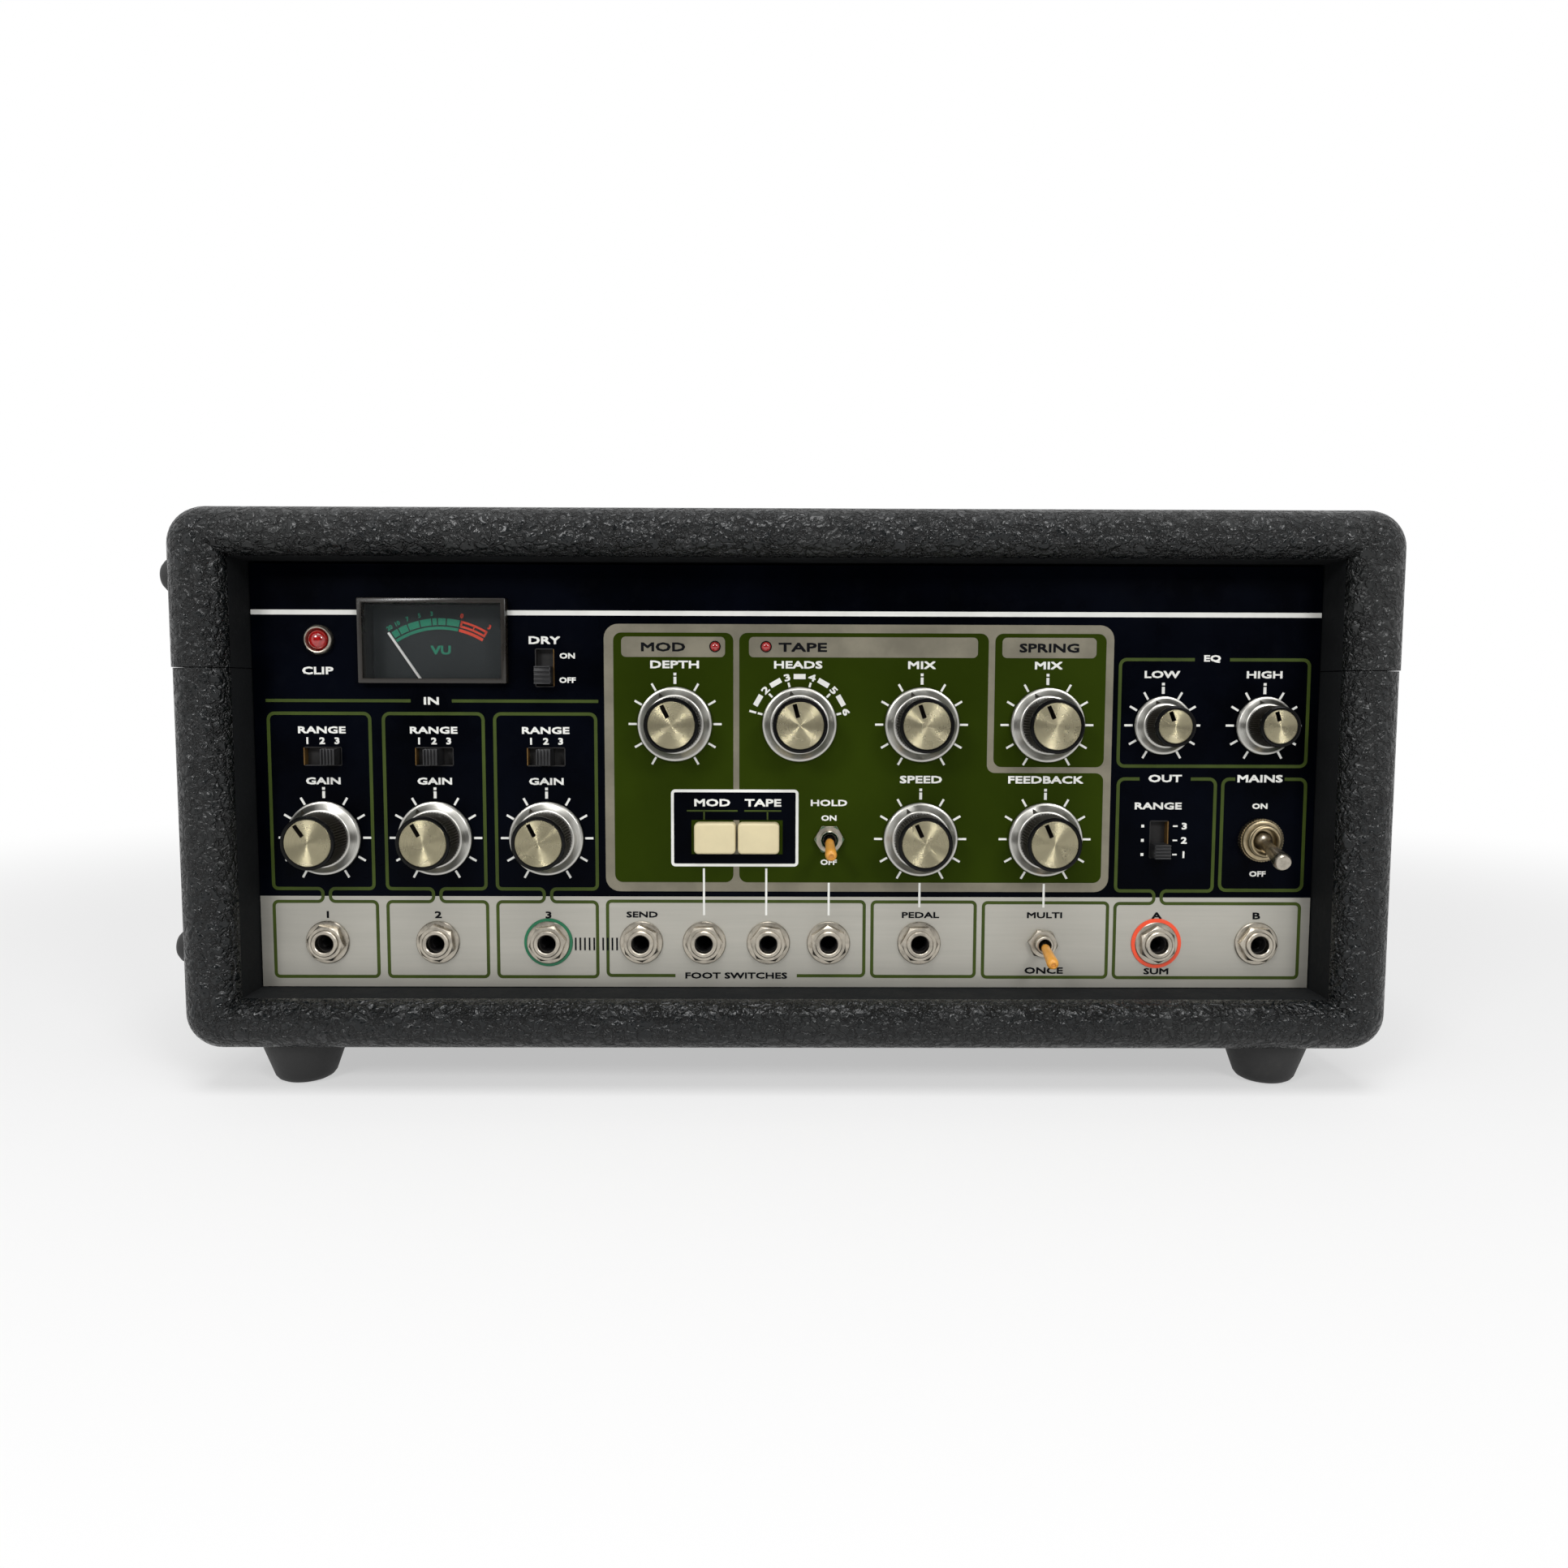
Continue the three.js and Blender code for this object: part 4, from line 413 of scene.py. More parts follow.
CLEAR_WINDOW = make_clear("clear_window", (0.10, 0.11, 0.11), 0.05, 0.04)
CLEAR_COVER = make_clear("clear_cover", (0.55, 0.58, 0.6), 0.16, 0.06)
RED_LENS = make_lens("red_lens", (0.38, 0.008, 0.008), 0.1)
DIAL_GREY = make_plain("dial_grey", (0.020, 0.024, 0.026), 0.5, cloud=0.1, cloud_scale=30.0, specular=0.2)
METER_GREEN = make_plain("meter_green", (0.0, 0.21, 0.115), 0.5, cloud=0.04)
METER_RED = make_plain("meter_red", (0.75, 0.05, 0.012), 0.5, cloud=0.04)
NEEDLE_WHITE = make_plain("needle_white", (0.85, 0.85, 0.82), 0.4, cloud=0.03)
TAPE_BROWN = make_plain("tape_brown", (0.035, 0.019, 0.012), 0.25, cloud=0.2)
BOARD_GREEN = make_plain("board_green", (0.028, 0.10, 0.038), 0.4)
LAMINATED = make_plain("laminated_steel", (0.11, 0.115, 0.12), 0.5, metallic=0.8, grain=0.0001)
GREEN_RING = make_plain("green_ring", (0.0, 0.14, 0.055), 0.3, cloud=0.05)
ORANGE_RING = make_plain("orange_ring", (0.85, 0.075, 0.02), 0.3, cloud=0.05)
POCKET_DARK = make_plain("pocket_dark", (0.006, 0.005, 0.005), 0.6)
POCKET_GOLD = make_plain("pocket_gold", (0.20, 0.11, 0.03), 0.35, metallic=0.6)
POCKET_BROWN = make_plain("pocket_brown", (0.035, 0.014, 0.006), 0.5)
BEZEL_BROWN = make_plain("bezel_brown", (0.016, 0.013, 0.010), 0.25, coat=0.1)
DARK_MARK = make_plain("dark_mark", (0.006, 0.004, 0.003), 0.5, specular=0.05)
print("finishes", len(bpy.data.materials))

# %% [markdown]
# The photograph shows the unit on plain white. A wide floor receives the soft shadow under the feet
# and turns pure white a little way off, where a studio sweep would. The lamps are large squares: one
# over the front edge and two to the sides, high enough that their fans cross on the knob caps. A
# black card behind the camera keeps the metal and the glossy front from mirroring white everywhere.

# %% Floor, sky and lamps
FLOOR_REACH = 6.0
FLOOR_FADE = (0.36, 0.95)
SHADOW_LIFT = 0.5
SKY_LIGHT, SKY_SEEN = 0.45, 1.0
LAMP_AIM = Vector((0.0, PANEL_Y, 0.1))
CARD_BACK, CARD_HALF, CARD_TOP = -1.7, 1.3, 0.95


def new_object(name, bm, *finishes):
    """An object with the shape of a bmesh, which is freed, and with its finishes."""
    mesh = bpy.data.meshes.new(name)
    bm.to_mesh(mesh)
    bm.free()
    for finish in finishes:
        mesh.materials.append(finish)
    obj = bpy.data.objects.new(name, mesh)
    bpy.context.scene.collection.objects.link(obj)
    return obj


def background_rays(finish):
    """One for the rays that show the background: of the camera, of gloss and of glass."""
    path = finish.node("ShaderNodeLightPath")
    return finish.node("ShaderNodeMath", {"operation": "ADD", "use_clamp": True}, [
        path.out("Is Camera Ray") + path.out("Is Glossy Ray"), path.out("Is Transmission Ray")])


def make_floor():
    finish = Finish("floor")
    distance = finish.vector("LENGTH", finish.place()).out("Value")
    far = finish.ramp(distance, *FLOOR_FADE)
    seen = background_rays(finish)
    finish.surface(base_color=(0.82, 0.82, 0.82), roughness=0.9, specular_ior_level=0.1)
    white = finish.node("ShaderNodeEmission", None, {"Color": (1.0, 1.0, 1.0, 1.0), "Strength": 1.0})
    share = (far * (1.0 - SHADOW_LIFT) + SHADOW_LIFT) * seen
    blend = finish.node("ShaderNodeMixShader", None, {0: share})
    inputs = blend.socket.node.inputs
    finish.tree.links.new(finish.shader.outputs[0], inputs[1])
    finish.tree.links.new(white.socket, inputs[2])
    finish.tree.links.new(blend.socket, finish.tree.nodes["Material Output"].inputs["Surface"])
    return finish.material


def add_floor():
    bm = bmesh.new()
    bmesh.ops.create_circle(bm, cap_ends=True, radius=FLOOR_REACH, segments=64)
    new_object("floor", bm, make_floor())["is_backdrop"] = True


def add_sky():
    world = bpy.data.worlds.new("sky")
    sky = Finish("sky", world)
    strength = sky.node("ShaderNodeMapRange", None, {
        "Value": background_rays(sky), "To Min": SKY_LIGHT, "To Max": SKY_SEEN})
    sky.surface(color=(1.0, 1.0, 1.0), strength=strength)
    bpy.context.scene.world = world


def add_card():
    """A black card behind the camera, which dark metal and the glossy front reflect."""
    corners = ((-CARD_HALF, 0.0), (CARD_HALF, 0.0), (CARD_HALF, CARD_TOP), (-CARD_HALF, CARD_TOP))
    bm = bmesh.new()
    bm.faces.new([bm.verts.new((x, CARD_BACK, z)) for x, z in corners])
    card = new_object("flag", bm, make_plain("flag", (0.012, 0.012, 0.012), 0.9, specular=0.0))
    card.visible_camera = False
    card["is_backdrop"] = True


def add_lamp(name, place, size, power):
    data = bpy.data.lights.new(name, "AREA")
    data.shape, data.size, data.energy = "SQUARE", size, power
    lamp = bpy.data.objects.new(name, data)
    aim = (LAMP_AIM - Vector(place)).to_track_quat("-Z", "Y")
    lamp.matrix_world = Matrix.Translation(place) @ aim.to_matrix().to_4x4()
    bpy.context.scene.collection.objects.link(lamp)


add_floor()
add_sky()
add_card()
add_lamp("lamp_over", (0.0, -0.7, 1.45), 0.7, 11.0)
add_lamp("lamp_left", (-0.5, -1.0, 0.58), 0.24, 3.5)
add_lamp("lamp_right", (0.5, -1.0, 0.58), 0.24, 3.3)
bpy.context.scene.view_settings.view_transform = "Standard"
print("stage and lamps ready")

# %% [markdown]
# Every piece ends in the same way: its normals are made to point outwards, it is moved to its place,
# it gets its finishes, and it rides on the body that carries it. Round pieces are spun from half
# profiles, and where a boolean is the natural tool, a modifier cuts one mesh with another.

# %% Modelling helpers
MERGE = 0.0005


def add_piece(name, bm, finishes, place=FRONT, body="case", replaces=(), sharp=32.0):
    bmesh.ops.recalc_face_normals(bm, faces=bm.faces[:])
    bm.transform(place)
    obj = new_object(name, bm, *finishes)
    obj.data.shade_smooth()
    obj.data.set_sharp_from_angle(angle=math.radians(sharp))
    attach(obj, body)
    if replaces:
        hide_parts(*replaces)
    return obj


def absorb(bm, other, place=Matrix.Identity(4), finish=None):
    """Adds another bmesh to this one at a place, and frees it."""
    other.transform(place)
    if finish is not None:
        for face in other.faces:
            face.material_index = finish
    mesh = bpy.data.meshes.new("shape")
    other.to_mesh(mesh)
    other.free()
    bm.from_mesh(mesh)
    bpy.data.meshes.remove(mesh)
    return bm


def spun(profile, segments=48, closed=False):
    """Turns a half profile of (radius, height) round the z axis."""
    bm = bmesh.new()
    verts = [bm.verts.new((radius, 0.0, height)) for radius, height in profile]
    pairs = list(zip(verts, verts[1:])) + ([(verts[-1], verts[0])] if closed else [])
    edges = [bm.edges.new(pair) for pair in pairs]
    bmesh.ops.spin(bm, geom=verts + edges, axis=(0, 0, 1), angle=2 * math.pi, steps=segments,
                   use_merge=True)
    bmesh.ops.remove_doubles(bm, verts=bm.verts[:], dist=MERGE)
    bmesh.ops.recalc_face_normals(bm, faces=bm.faces[:])
    return bm


def bevel(bm, geom, offset, segments, affect="EDGES", clamp=False):
    bmesh.ops.bevel(bm, geom=geom, offset=offset, offset_type="OFFSET", segments=segments, profile=0.5,
                    affect=affect, material=-1, clamp_overlap=clamp)


def bar(radius, depth, segments, x=0.0, y=0.0, z=0.0, turn=0.0, top=None):
    """A closed round or many-sided bar that stands on its axis, with its middle at a place."""
    bm = bmesh.new()
    place = Matrix.Rotation(math.radians(turn), 4, "Z") @ Matrix.Translation((x, y, z))
    bmesh.ops.create_cone(bm, cap_ends=True, segments=segments, radius1=radius,
                          radius2=radius if top is None else top, depth=depth, matrix=place)
    return bm


def halved(bm, point, normal, clear=False):
    """Cuts every edge and face at a plane. With clear, what lies in front of the plane is deleted."""
    return bmesh.ops.bisect_plane(bm, geom=bm.verts[:] + bm.edges[:] + bm.faces[:], plane_co=point,
                                  plane_no=normal, clear_outer=clear)


def raised(bm, height):
    """Gives flat shapes a body of a height above them."""
    moved = bmesh.ops.extrude_face_region(bm, geom=bm.faces[:])["geom"]
    top = [g for g in moved if isinstance(g, bmesh.types.BMVert)]
    bmesh.ops.translate(bm, verts=top, vec=(0.0, 0.0, height))
    return bm


def block(low, high, edge=0.0):
    """A box between two corners, with all its edges rounded if a radius is given."""
    bm = bmesh.new()
    size = Vector(high) - Vector(low)
    middle = (Vector(high) + Vector(low)) / 2
    bmesh.ops.create_cube(bm, size=1.0, matrix=Matrix.Translation(middle) @ Matrix.Diagonal((*size, 1.0)))
    if edge:
        bevel(bm, bm.edges[:], edge, 2, clamp=True)
    return bm


def carved(bm, cutter, operation="DIFFERENCE"):
    """The boolean of two closed meshes, as a new bmesh."""
    bmesh.ops.recalc_face_normals(bm, faces=bm.faces[:])
    bmesh.ops.recalc_face_normals(cutter, faces=cutter.faces[:])
    target, tool = new_object("target", bm), new_object("tool", cutter)
    modifier = target.modifiers.new("cut", "BOOLEAN")
    modifier.operation, modifier.object, modifier.solver = operation, tool, "EXACT"
    bpy.context.view_layer.update()
    shape = target.evaluated_get(bpy.context.evaluated_depsgraph_get()).to_mesh()
    result = bmesh.new()
    result.from_mesh(shape)
    for obj in (target, tool):
        mesh = obj.data
        bpy.data.objects.remove(obj)
        bpy.data.meshes.remove(mesh)
    return result


print("modelling helpers ready")

# %% [markdown]
# The case is a wooden box whose front and rear edges are rounded like a cushion. A cube with two
# bevels gives the outside. The room inside is a second solid that flares out in front in a quarter
# circle, and cutting it away leaves the rounded inner edge. The same shell is parted at the seam, and
# the lid is drawn half a millimetre wider than the base, as the photograph shows on the left.

# %% The two halves of the case
base_low, base_high = (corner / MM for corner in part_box("cabinet_base"))
lid_low, lid_high = (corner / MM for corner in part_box("cabinet_lid"))
CASE_CORNER, RIM_OUTER, RIM_INNER = 13.0, 9.0, 7.0
BOARD_SIDE, BOARD_FLOOR, BOARD_TOP, BOARD_REAR = 19.5, 17.5, 16.5, 12.0
SEAM_ROUND, PANEL_EDGE, DISH_EDGE, SEAT = 0.9, 8.0, 6.0, 0.3
OVERRUN = 1.0
front_y, rear_y = base_low.y, base_high.y
room_low = Vector((base_low.x + BOARD_SIDE, front_y, base_low.z + BOARD_FLOOR))
room_high = Vector((base_high.x - BOARD_SIDE, rear_y - BOARD_REAR, lid_high.z - BOARD_TOP))
METRES = Matrix.Scale(MM, 4)


def rounded_shell(low, high):
    """The outside of the case: four long edges, then the edges of its front and rear faces."""
    bm = block(low, high)
    long_edges = [e for e in bm.edges if abs(e.verts[0].co.y - e.verts[1].co.y) > 1.0]
    bevel(bm, long_edges, CASE_CORNER, 10)
    rims = [e for e in bm.edges if abs(e.verts[0].co.y - e.verts[1].co.y) < 0.01
            and any(abs(f.normal.y) > 0.99 for f in e.link_faces)]
    bevel(bm, rims, RIM_OUTER, 8)
    return bm


def flared_room(steps=8):
    """The room inside the boards, which widens in a quarter circle at the front."""
    size, middle = room_high - room_low, (room_high + room_low) / 2
    sections = [(rear_y - BOARD_REAR, 0.0), (front_y + RIM_INNER, 0.0)]
    for i in range(1, steps + 1):
        angle = math.pi / 2 * i / steps
        sections.append((front_y + RIM_INNER * (1 - math.sin(angle)), RIM_INNER * (1 - math.cos(angle))))
    sections.append((front_y - OVERRUN, RIM_INNER))
    bm = bmesh.new()
    bmesh.ops.create_grid(bm, x_segments=1, y_segments=1, size=0.5,
                          matrix=Matrix.Translation(middle) @ Matrix.Rotation(math.pi / 2, 4, "X"))
    front = bm.faces[:]
    for i, (y, outset) in enumerate(sections):
        if i:
            last = front
            front = [g for g in bmesh.ops.extrude_face_region(bm, geom=last)["geom"]
                     if isinstance(g, bmesh.types.BMFace)]
            if i > 1:
                bmesh.ops.delete(bm, geom=[f for f in last if f.is_valid], context="FACES_ONLY")
        wide, tall = size.x + 2 * outset, size.z + 2 * outset
        for v in {v for f in front for v in f.verts}:
            v.co = (middle.x + math.copysign(wide / 2, v.co.x - middle.x), y,
                    middle.z + math.copysign(tall / 2, v.co.z - middle.z))
    return bm


def case_half(low, high, keep_low, keep_high):
    """The shell between two heights, with the room cut out of it."""
    bm = rounded_shell(low, high)
    for height, side in ((keep_low, -1.0), (keep_high, 1.0)):
        if low.z < height < high.z:
            cut = halved(bm, (0, 0, height), (0, 0, side), clear=True)["geom_cut"]
            edges = [g for g in cut if isinstance(g, bmesh.types.BMEdge)]
            bmesh.ops.holes_fill(bm, edges=edges, sides=0)
    return carved(bm, flared_room())


def paint_inside(bm):
    """The boards inside, behind the panel, are painted and not covered."""
    slack = 0.1
    for face in bm.faces:
        c = face.calc_center_median()
        inside = (room_low.x - slack < c.x < room_high.x + slack
                  and room_low.z - slack < c.z < room_high.z + slack
                  and PANEL_Y / MM < c.y < room_high.y + slack)
        face.material_index = 1 if inside else 0


def soften_seam(bm, height):
    """Rounds the edge where the covering turns in at the seam."""
    seam = [e for e in bm.edges if all(abs(v.co.z - height) < 0.01 for v in e.verts)
            and len(e.link_faces) == 2 and e.calc_face_angle(0) > 1.0]
    bevel(bm, seam, SEAM_ROUND, 3, clamp=True)


def add_half(name, bm, seam, body, replaced):
    soften_seam(bm, seam)
    paint_inside(bm)
    half = add_piece(name, bm, [LEATHERETTE, CASE_PAINT], METRES, body,
                     replaces=[replaced], sharp=28)
    print(name, "faces", len(half.data.polygons))


def add_case():
    shell_high = Vector((base_high.x, base_high.y, lid_high.z))
    base = case_half(base_low, shell_high, base_low.z, base_high.z)
    panel_lo, panel_hi = (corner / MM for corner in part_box("back_panel"))
    base = carved(base, block((panel_lo.x - SEAT, panel_lo.y - SEAT, panel_lo.z - SEAT),
                              (panel_hi.x + SEAT, rear_y + OVERRUN, panel_hi.z + SEAT)))
    base = carved(base, block(
        (panel_lo.x + PANEL_EDGE, rear_y - BOARD_REAR - OVERRUN, panel_lo.z + PANEL_EDGE),
        (panel_hi.x - PANEL_EDGE, rear_y + OVERRUN, panel_hi.z - PANEL_EDGE)))
    dish_lo, dish_hi = (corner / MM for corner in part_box("handle_dish"))
    base = carved(base, block(
        (base_high.x - BOARD_SIDE - OVERRUN, dish_lo.y + DISH_EDGE - SEAT, dish_lo.z + DISH_EDGE - SEAT),
        (base_high.x + OVERRUN, dish_hi.y - DISH_EDGE + SEAT, dish_hi.z - DISH_EDGE + SEAT)))
    add_half("case_base", base, base_high.z, "case", "cabinet_base")
    lid_shell_low = Vector((lid_low.x, lid_low.y, base_low.z))
    lid = case_half(lid_shell_low, lid_high, lid_low.z, lid_high.z)
    add_half("case_lid", lid, lid_low.z, "lid", "cabinet_lid")


add_case()

# %% [markdown]
# The front is printed in layers, like a real panel. Each layer gathers flat shapes of one colour, gets
# a thin body and is laid a little higher than the layer below it: the bright strip and the silver
# sheet, the green fields, the plates, and then the lines and words.

# %% Flat shapes
def box_corners(x0, y0, x1, y1, radius=0.0):
    return [(x0, y0, radius), (x1, y0, radius), (x1, y1, radius), (x0, y1, radius)]


def flat_patch(corners):
    """A filled outline whose corners are (x, y, radius)."""
    bm = bmesh.new()
    verts = [bm.verts.new((x, y, 0.0)) for x, y, _ in corners]
    bm.faces.new(verts)
    for radius in sorted({corner[2] for corner in corners if corner[2]}):
        chosen = [v for v, corner in zip(verts, corners) if corner[2] == radius]
        bevel(bm, chosen, radius, 6, affect="VERTICES")
    return bm


def flat_ring(corners, width):
    """The outline alone, as a line of an even width inside the corners."""
    bm = flat_patch(corners)
    ring = bmesh.ops.inset_region(bm, faces=bm.faces[:], thickness=width, use_even_offset=True,
                                  use_boundary=True)["faces"]
    inner = [face for face in bm.faces if face not in set(ring)]
    bmesh.ops.delete(bm, geom=inner, context="FACES")
    return bm


def cut_away(bm, x0, y0, x1, y1):
    """Takes the part inside a rectangle out of a flat shape."""
    for point, normal in (((x0, 0, 0), (1, 0, 0)), ((x1, 0, 0), (1, 0, 0)),
                          ((0, y0, 0), (0, 1, 0)), ((0, y1, 0), (0, 1, 0))):
        halved(bm, point, normal)
    middles = {face: face.calc_center_median() for face in bm.faces}
    inside = [face for face, c in middles.items() if x0 < c.x < x1 and y0 < c.y < y1]
    bmesh.ops.delete(bm, geom=inside, context="FACES")
    return bm


STROKE_SHARE, LAYER = 0.048, 0.008


def words(text, height, width=None, stretch=1.6):
    """Bold capitals or numbers, centred on zero, at a given height in millimetres.

    The strokes are made bolder by four copies that are shifted to the corners. Each copy lies a
    little higher than the last, because faces at one height would hide each other at random.
    """
    curve = bpy.data.curves.new("words", "FONT")
    curve.body, curve.resolution_u = text, 2
    obj = bpy.data.objects.new("words", curve)
    bpy.context.scene.collection.objects.link(obj)
    bpy.context.view_layer.update()
    mesh = bpy.data.meshes.new_from_object(obj)
    bm = bmesh.new()
    bm.from_mesh(mesh)
    low = Vector((min(v.co.x for v in bm.verts), min(v.co.y for v in bm.verts), 0.0))
    high = Vector((max(v.co.x for v in bm.verts), max(v.co.y for v in bm.verts), 0.0))
    bm.free()
    size, bolder = high - low, STROKE_SHARE * height
    scale_y = (height - 2 * bolder) / size.y
    scale_x = (width - 2 * bolder) / size.x if width else scale_y * stretch
    scale = Matrix.Diagonal((scale_x, scale_y, 1.0, 1.0)) @ Matrix.Translation(-(low + high) / 2)
    bold = bmesh.new()
    for level, (side, up) in enumerate(((-1, -1), (1, -1), (1, 1), (-1, 1))):
        copy = bmesh.new()
        copy.from_mesh(mesh)
        absorb(bold, copy, Matrix.Translation((side * bolder, up * bolder, level * LAYER)) @ scale)
    bpy.data.objects.remove(obj)
    bpy.data.curves.remove(curve)
    bpy.data.meshes.remove(mesh)
    return bold


class Ink:
    """One layer of print: flat shapes of one finish with their top at one height."""

    def __init__(self, name, finish, top):
        self.name, self.finish, self.top = name, finish, top
        self.bm = bmesh.new()

    def add(self, shape, x=0.0, y=0.0, turn=0.0):
        place = Matrix.Translation((x, y, 0.0)) @ Matrix.Rotation(math.radians(turn), 4, "Z")
        absorb(self.bm, shape, place)

    def bar(self, x, y, width, height, turn=0.0):
        place = (Matrix.Translation((x, y, 0.0)) @ Matrix.Rotation(math.radians(turn), 4, "Z")
                 @ Matrix.Diagonal((width, height, 1.0, 1.0)))
        bmesh.ops.create_grid(self.bm, x_segments=1, y_segments=1, size=0.5, matrix=place)

    def write(self, text, x, y, height, width=None, stretch=1.6, turn=0.0):
        self.add(words(text, height, width, stretch), x, y, turn)

    def lay(self, sink=0.02, cutter=None):
        """Gives the shapes their thickness and lays them on the panel, sunk in a little."""
        bm = self.bm
        bmesh.ops.translate(bm, verts=bm.verts[:], vec=(0.0, 0.0, -sink))
        raised(bm, self.top + sink)
        if cutter is not None:
            bm = carved(bm, cutter)
        add_piece(self.name, bm, [self.finish], sharp=20.0)


print("flat shapes ready")

# %% [markdown]
# The controls stand in columns and rows, measured from the middle of the panel's lower edge.

# %% Columns and rows of the front
INPUTS = (-163.8, -124.5, -85.1)
SEND, PEDALS, REMOTE = -51.9, (-29.4, -6.5, 15.0), 47.4
OUTPUTS = (132.5, 168.4)
JACKS = (*INPUTS, SEND, *PEDALS, REMOTE, *OUTPUTS)
ROW_JACK, ROW_LOW, ROW_HIGH = 16.5, 54.0, 94.6
KNOBS = {
    "gain_knob_1": (INPUTS[0], ROW_LOW, 35), "gain_knob_2": (INPUTS[1], ROW_LOW, 29),
    "gain_knob_3": (INPUTS[2], ROW_LOW, 27), "depth_knob": (-39.5, ROW_HIGH, 26),
    "mode_knob": (4.3, ROW_HIGH, 15), "echo_volume_knob": (47.4, ROW_HIGH, 19),
    "reverb_volume_knob": (91.7, ROW_HIGH, 24), "repeat_rate_knob": (47.4, ROW_LOW, 25),
    "repeat_amount_knob": (91.7, ROW_LOW, 24), "bass_knob": (OUTPUTS[0], ROW_HIGH, 20),
    "treble_knob": (OUTPUTS[1], ROW_HIGH, 16)}
SMALL_KNOBS = ("bass_knob", "treble_knob")
BUTTON_WINDOW = (-33.9, 48.4, -1.5, 60.6)
BUTTON_PLATE = (-41.1, 44.0, 4.1, 71.5)
HALF, METER_EDGES = 187.4, (-149.0, -98.2)


def around(radius, angle):
    """A place on a circle round zero, at an angle in degrees, clockwise from the top."""
    return radius * math.sin(math.radians(angle)), radius * math.cos(math.radians(angle))


def jack_cutter(radius, depth=3.0):
    """Round bars at all the jacks, to cut holes with."""
    bm = bmesh.new()
    for x in JACKS:
        absorb(bm, bar(radius, depth, 32, x, ROW_JACK))
    return bm


print("knobs", len(KNOBS), "jacks", len(JACKS))

# %% [markdown]
# The bright strip for the jacks runs along the lower edge. Above it lies the large silver sheet with
# its three green fields, which leave a silver line between them, and on the green lie the plates.

# %% Strip, sheet, fields and plates
SHEET_TOP, FIELD_TOP, PLATE_TOP, LINE_TOP, WORD_TOP = 0.06, 0.1, 0.14, 0.16, 0.18
SHEET_ROUND, FRAME_ROUND, PLATE_ROUND, BUTTON_ROUND = 5.0, 2.8, 1.6, 1.5
STRIP = (-HALF, 0.35, HALF, 33.1)
SHEET = (-64.4, 35.0, 114.8, 129.6)
FIELD_LOW, FIELD_HIGH = 38.3, 126.6
MOD_FIELD, TAPE_FIELD, SPRING_FIELD = (-61.1, -19.0), (-16.9, 70.7), (73.0, 112.1)
UNDER_SPRING, SPRING_LOW = 77.6, 79.7
PLATES, PLATE_LOW, PLATE_HIGH = ((-58.3, -21.9), (-13.5, 66.9), (75.5, 108.6)), 118.1, 125.2


def lay_fields():
    strip = Ink("print_strip", STRIP_METAL, FIELD_TOP)
    strip.add(flat_patch(box_corners(*STRIP)))
    strip.lay(cutter=jack_cutter(6.0))
    silver = Ink("print_silver", SILVER_PAINT, SHEET_TOP)
    silver.add(flat_patch(box_corners(*SHEET, SHEET_ROUND)))
    silver.lay()
    green = Ink("print_green", GREEN_PAINT, FIELD_TOP)
    green.add(flat_patch(box_corners(MOD_FIELD[0], FIELD_LOW, MOD_FIELD[1], FIELD_HIGH, FRAME_ROUND)))
    left, inner, right = *TAPE_FIELD, SPRING_FIELD[1]
    bent_field = ((left, FIELD_LOW), (right, FIELD_LOW), (right, UNDER_SPRING), (inner, UNDER_SPRING),
                  (inner, FIELD_HIGH), (left, FIELD_HIGH))
    green.add(flat_patch([(*corner, FRAME_ROUND) for corner in bent_field]))
    green.add(flat_patch(box_corners(SPRING_FIELD[0], SPRING_LOW, right, FIELD_HIGH, FRAME_ROUND)))
    green.lay()
    plates = Ink("print_plates", SILVER_PAINT, PLATE_TOP)
    for x0, x1 in PLATES:
        plates.add(flat_patch(box_corners(x0, PLATE_LOW, x1, PLATE_HIGH, PLATE_ROUND)))
    plates.lay()
    black = Ink("print_button_plate", BLACK_PANEL, PLATE_TOP)
    black.add(cut_away(flat_patch(box_corners(*BUTTON_PLATE, BUTTON_ROUND)), *BUTTON_WINDOW))
    black.lay()


lay_fields()
print("fields laid")

# %% [markdown]
# Olive lines frame each group of controls. An input's frame narrows to a neck between its knob and
# its jack, so it is drawn as one closed line.

# %% Olive lines
LINE, TITLE_LINE, HAIRLINE = 1.15, 1.1, 0.55
KNOB_CORNER, JACK_CORNER, SHOULDER_CORNER, NECK_CORNER = FRAME_ROUND, 2.0, 2.2, 1.2
INPUT_TITLE_Y, INPUT_TITLE_LINES = 102.5, ((-183.2, -132.4), (-117.9, -66.5))
INPUT_TOP, INPUT_WAIST, INPUT_SHOULDER, INPUT_LOW = 98.6, 35.2, 31.7, 3.4
INPUT_FRAMES = ((-183.1, -146.3, -183.2, -145.3), (-142.7, -106.5, -142.7, -106.1),
                (-103.6, -66.9, -103.6, -67.0))
OUTPUT_FRAME = (116.9, 152.6, 76.2, 132.6, 34.9, 116.9, 184.2, 31.5, 3.4)
JACK_FRAMES = ((30.0, 3.7, 68.0, 31.9), (69.8, 3.5, 115.4, 31.7))
PEDAL_FRAME, PEDAL_GAP = (-64.5, 3.9, 28.3, 32.0), (-39.8, 2.0, 3.7, 6.0)
TONE_FRAME, TONE_GAP = (116.6, 79.6, 184.4, 118.3), (143.3, 116.0, 155.7, 120.0)
POWER_FRAME, POWER_GAP = (154.1, 35.2, 184.7, 76.2), (159.0, 74.0, 176.6, 78.0)
OUTPUT_GAP = (125.0, 74.0, 143.2, 78.0)
BRACKETS, BRACKET_Y, STEM_Y, STEM = ((-35.5, -17.5, -29.4), (-15.1, -2.0, -6.9)), 63.9, 62.3, 3.2


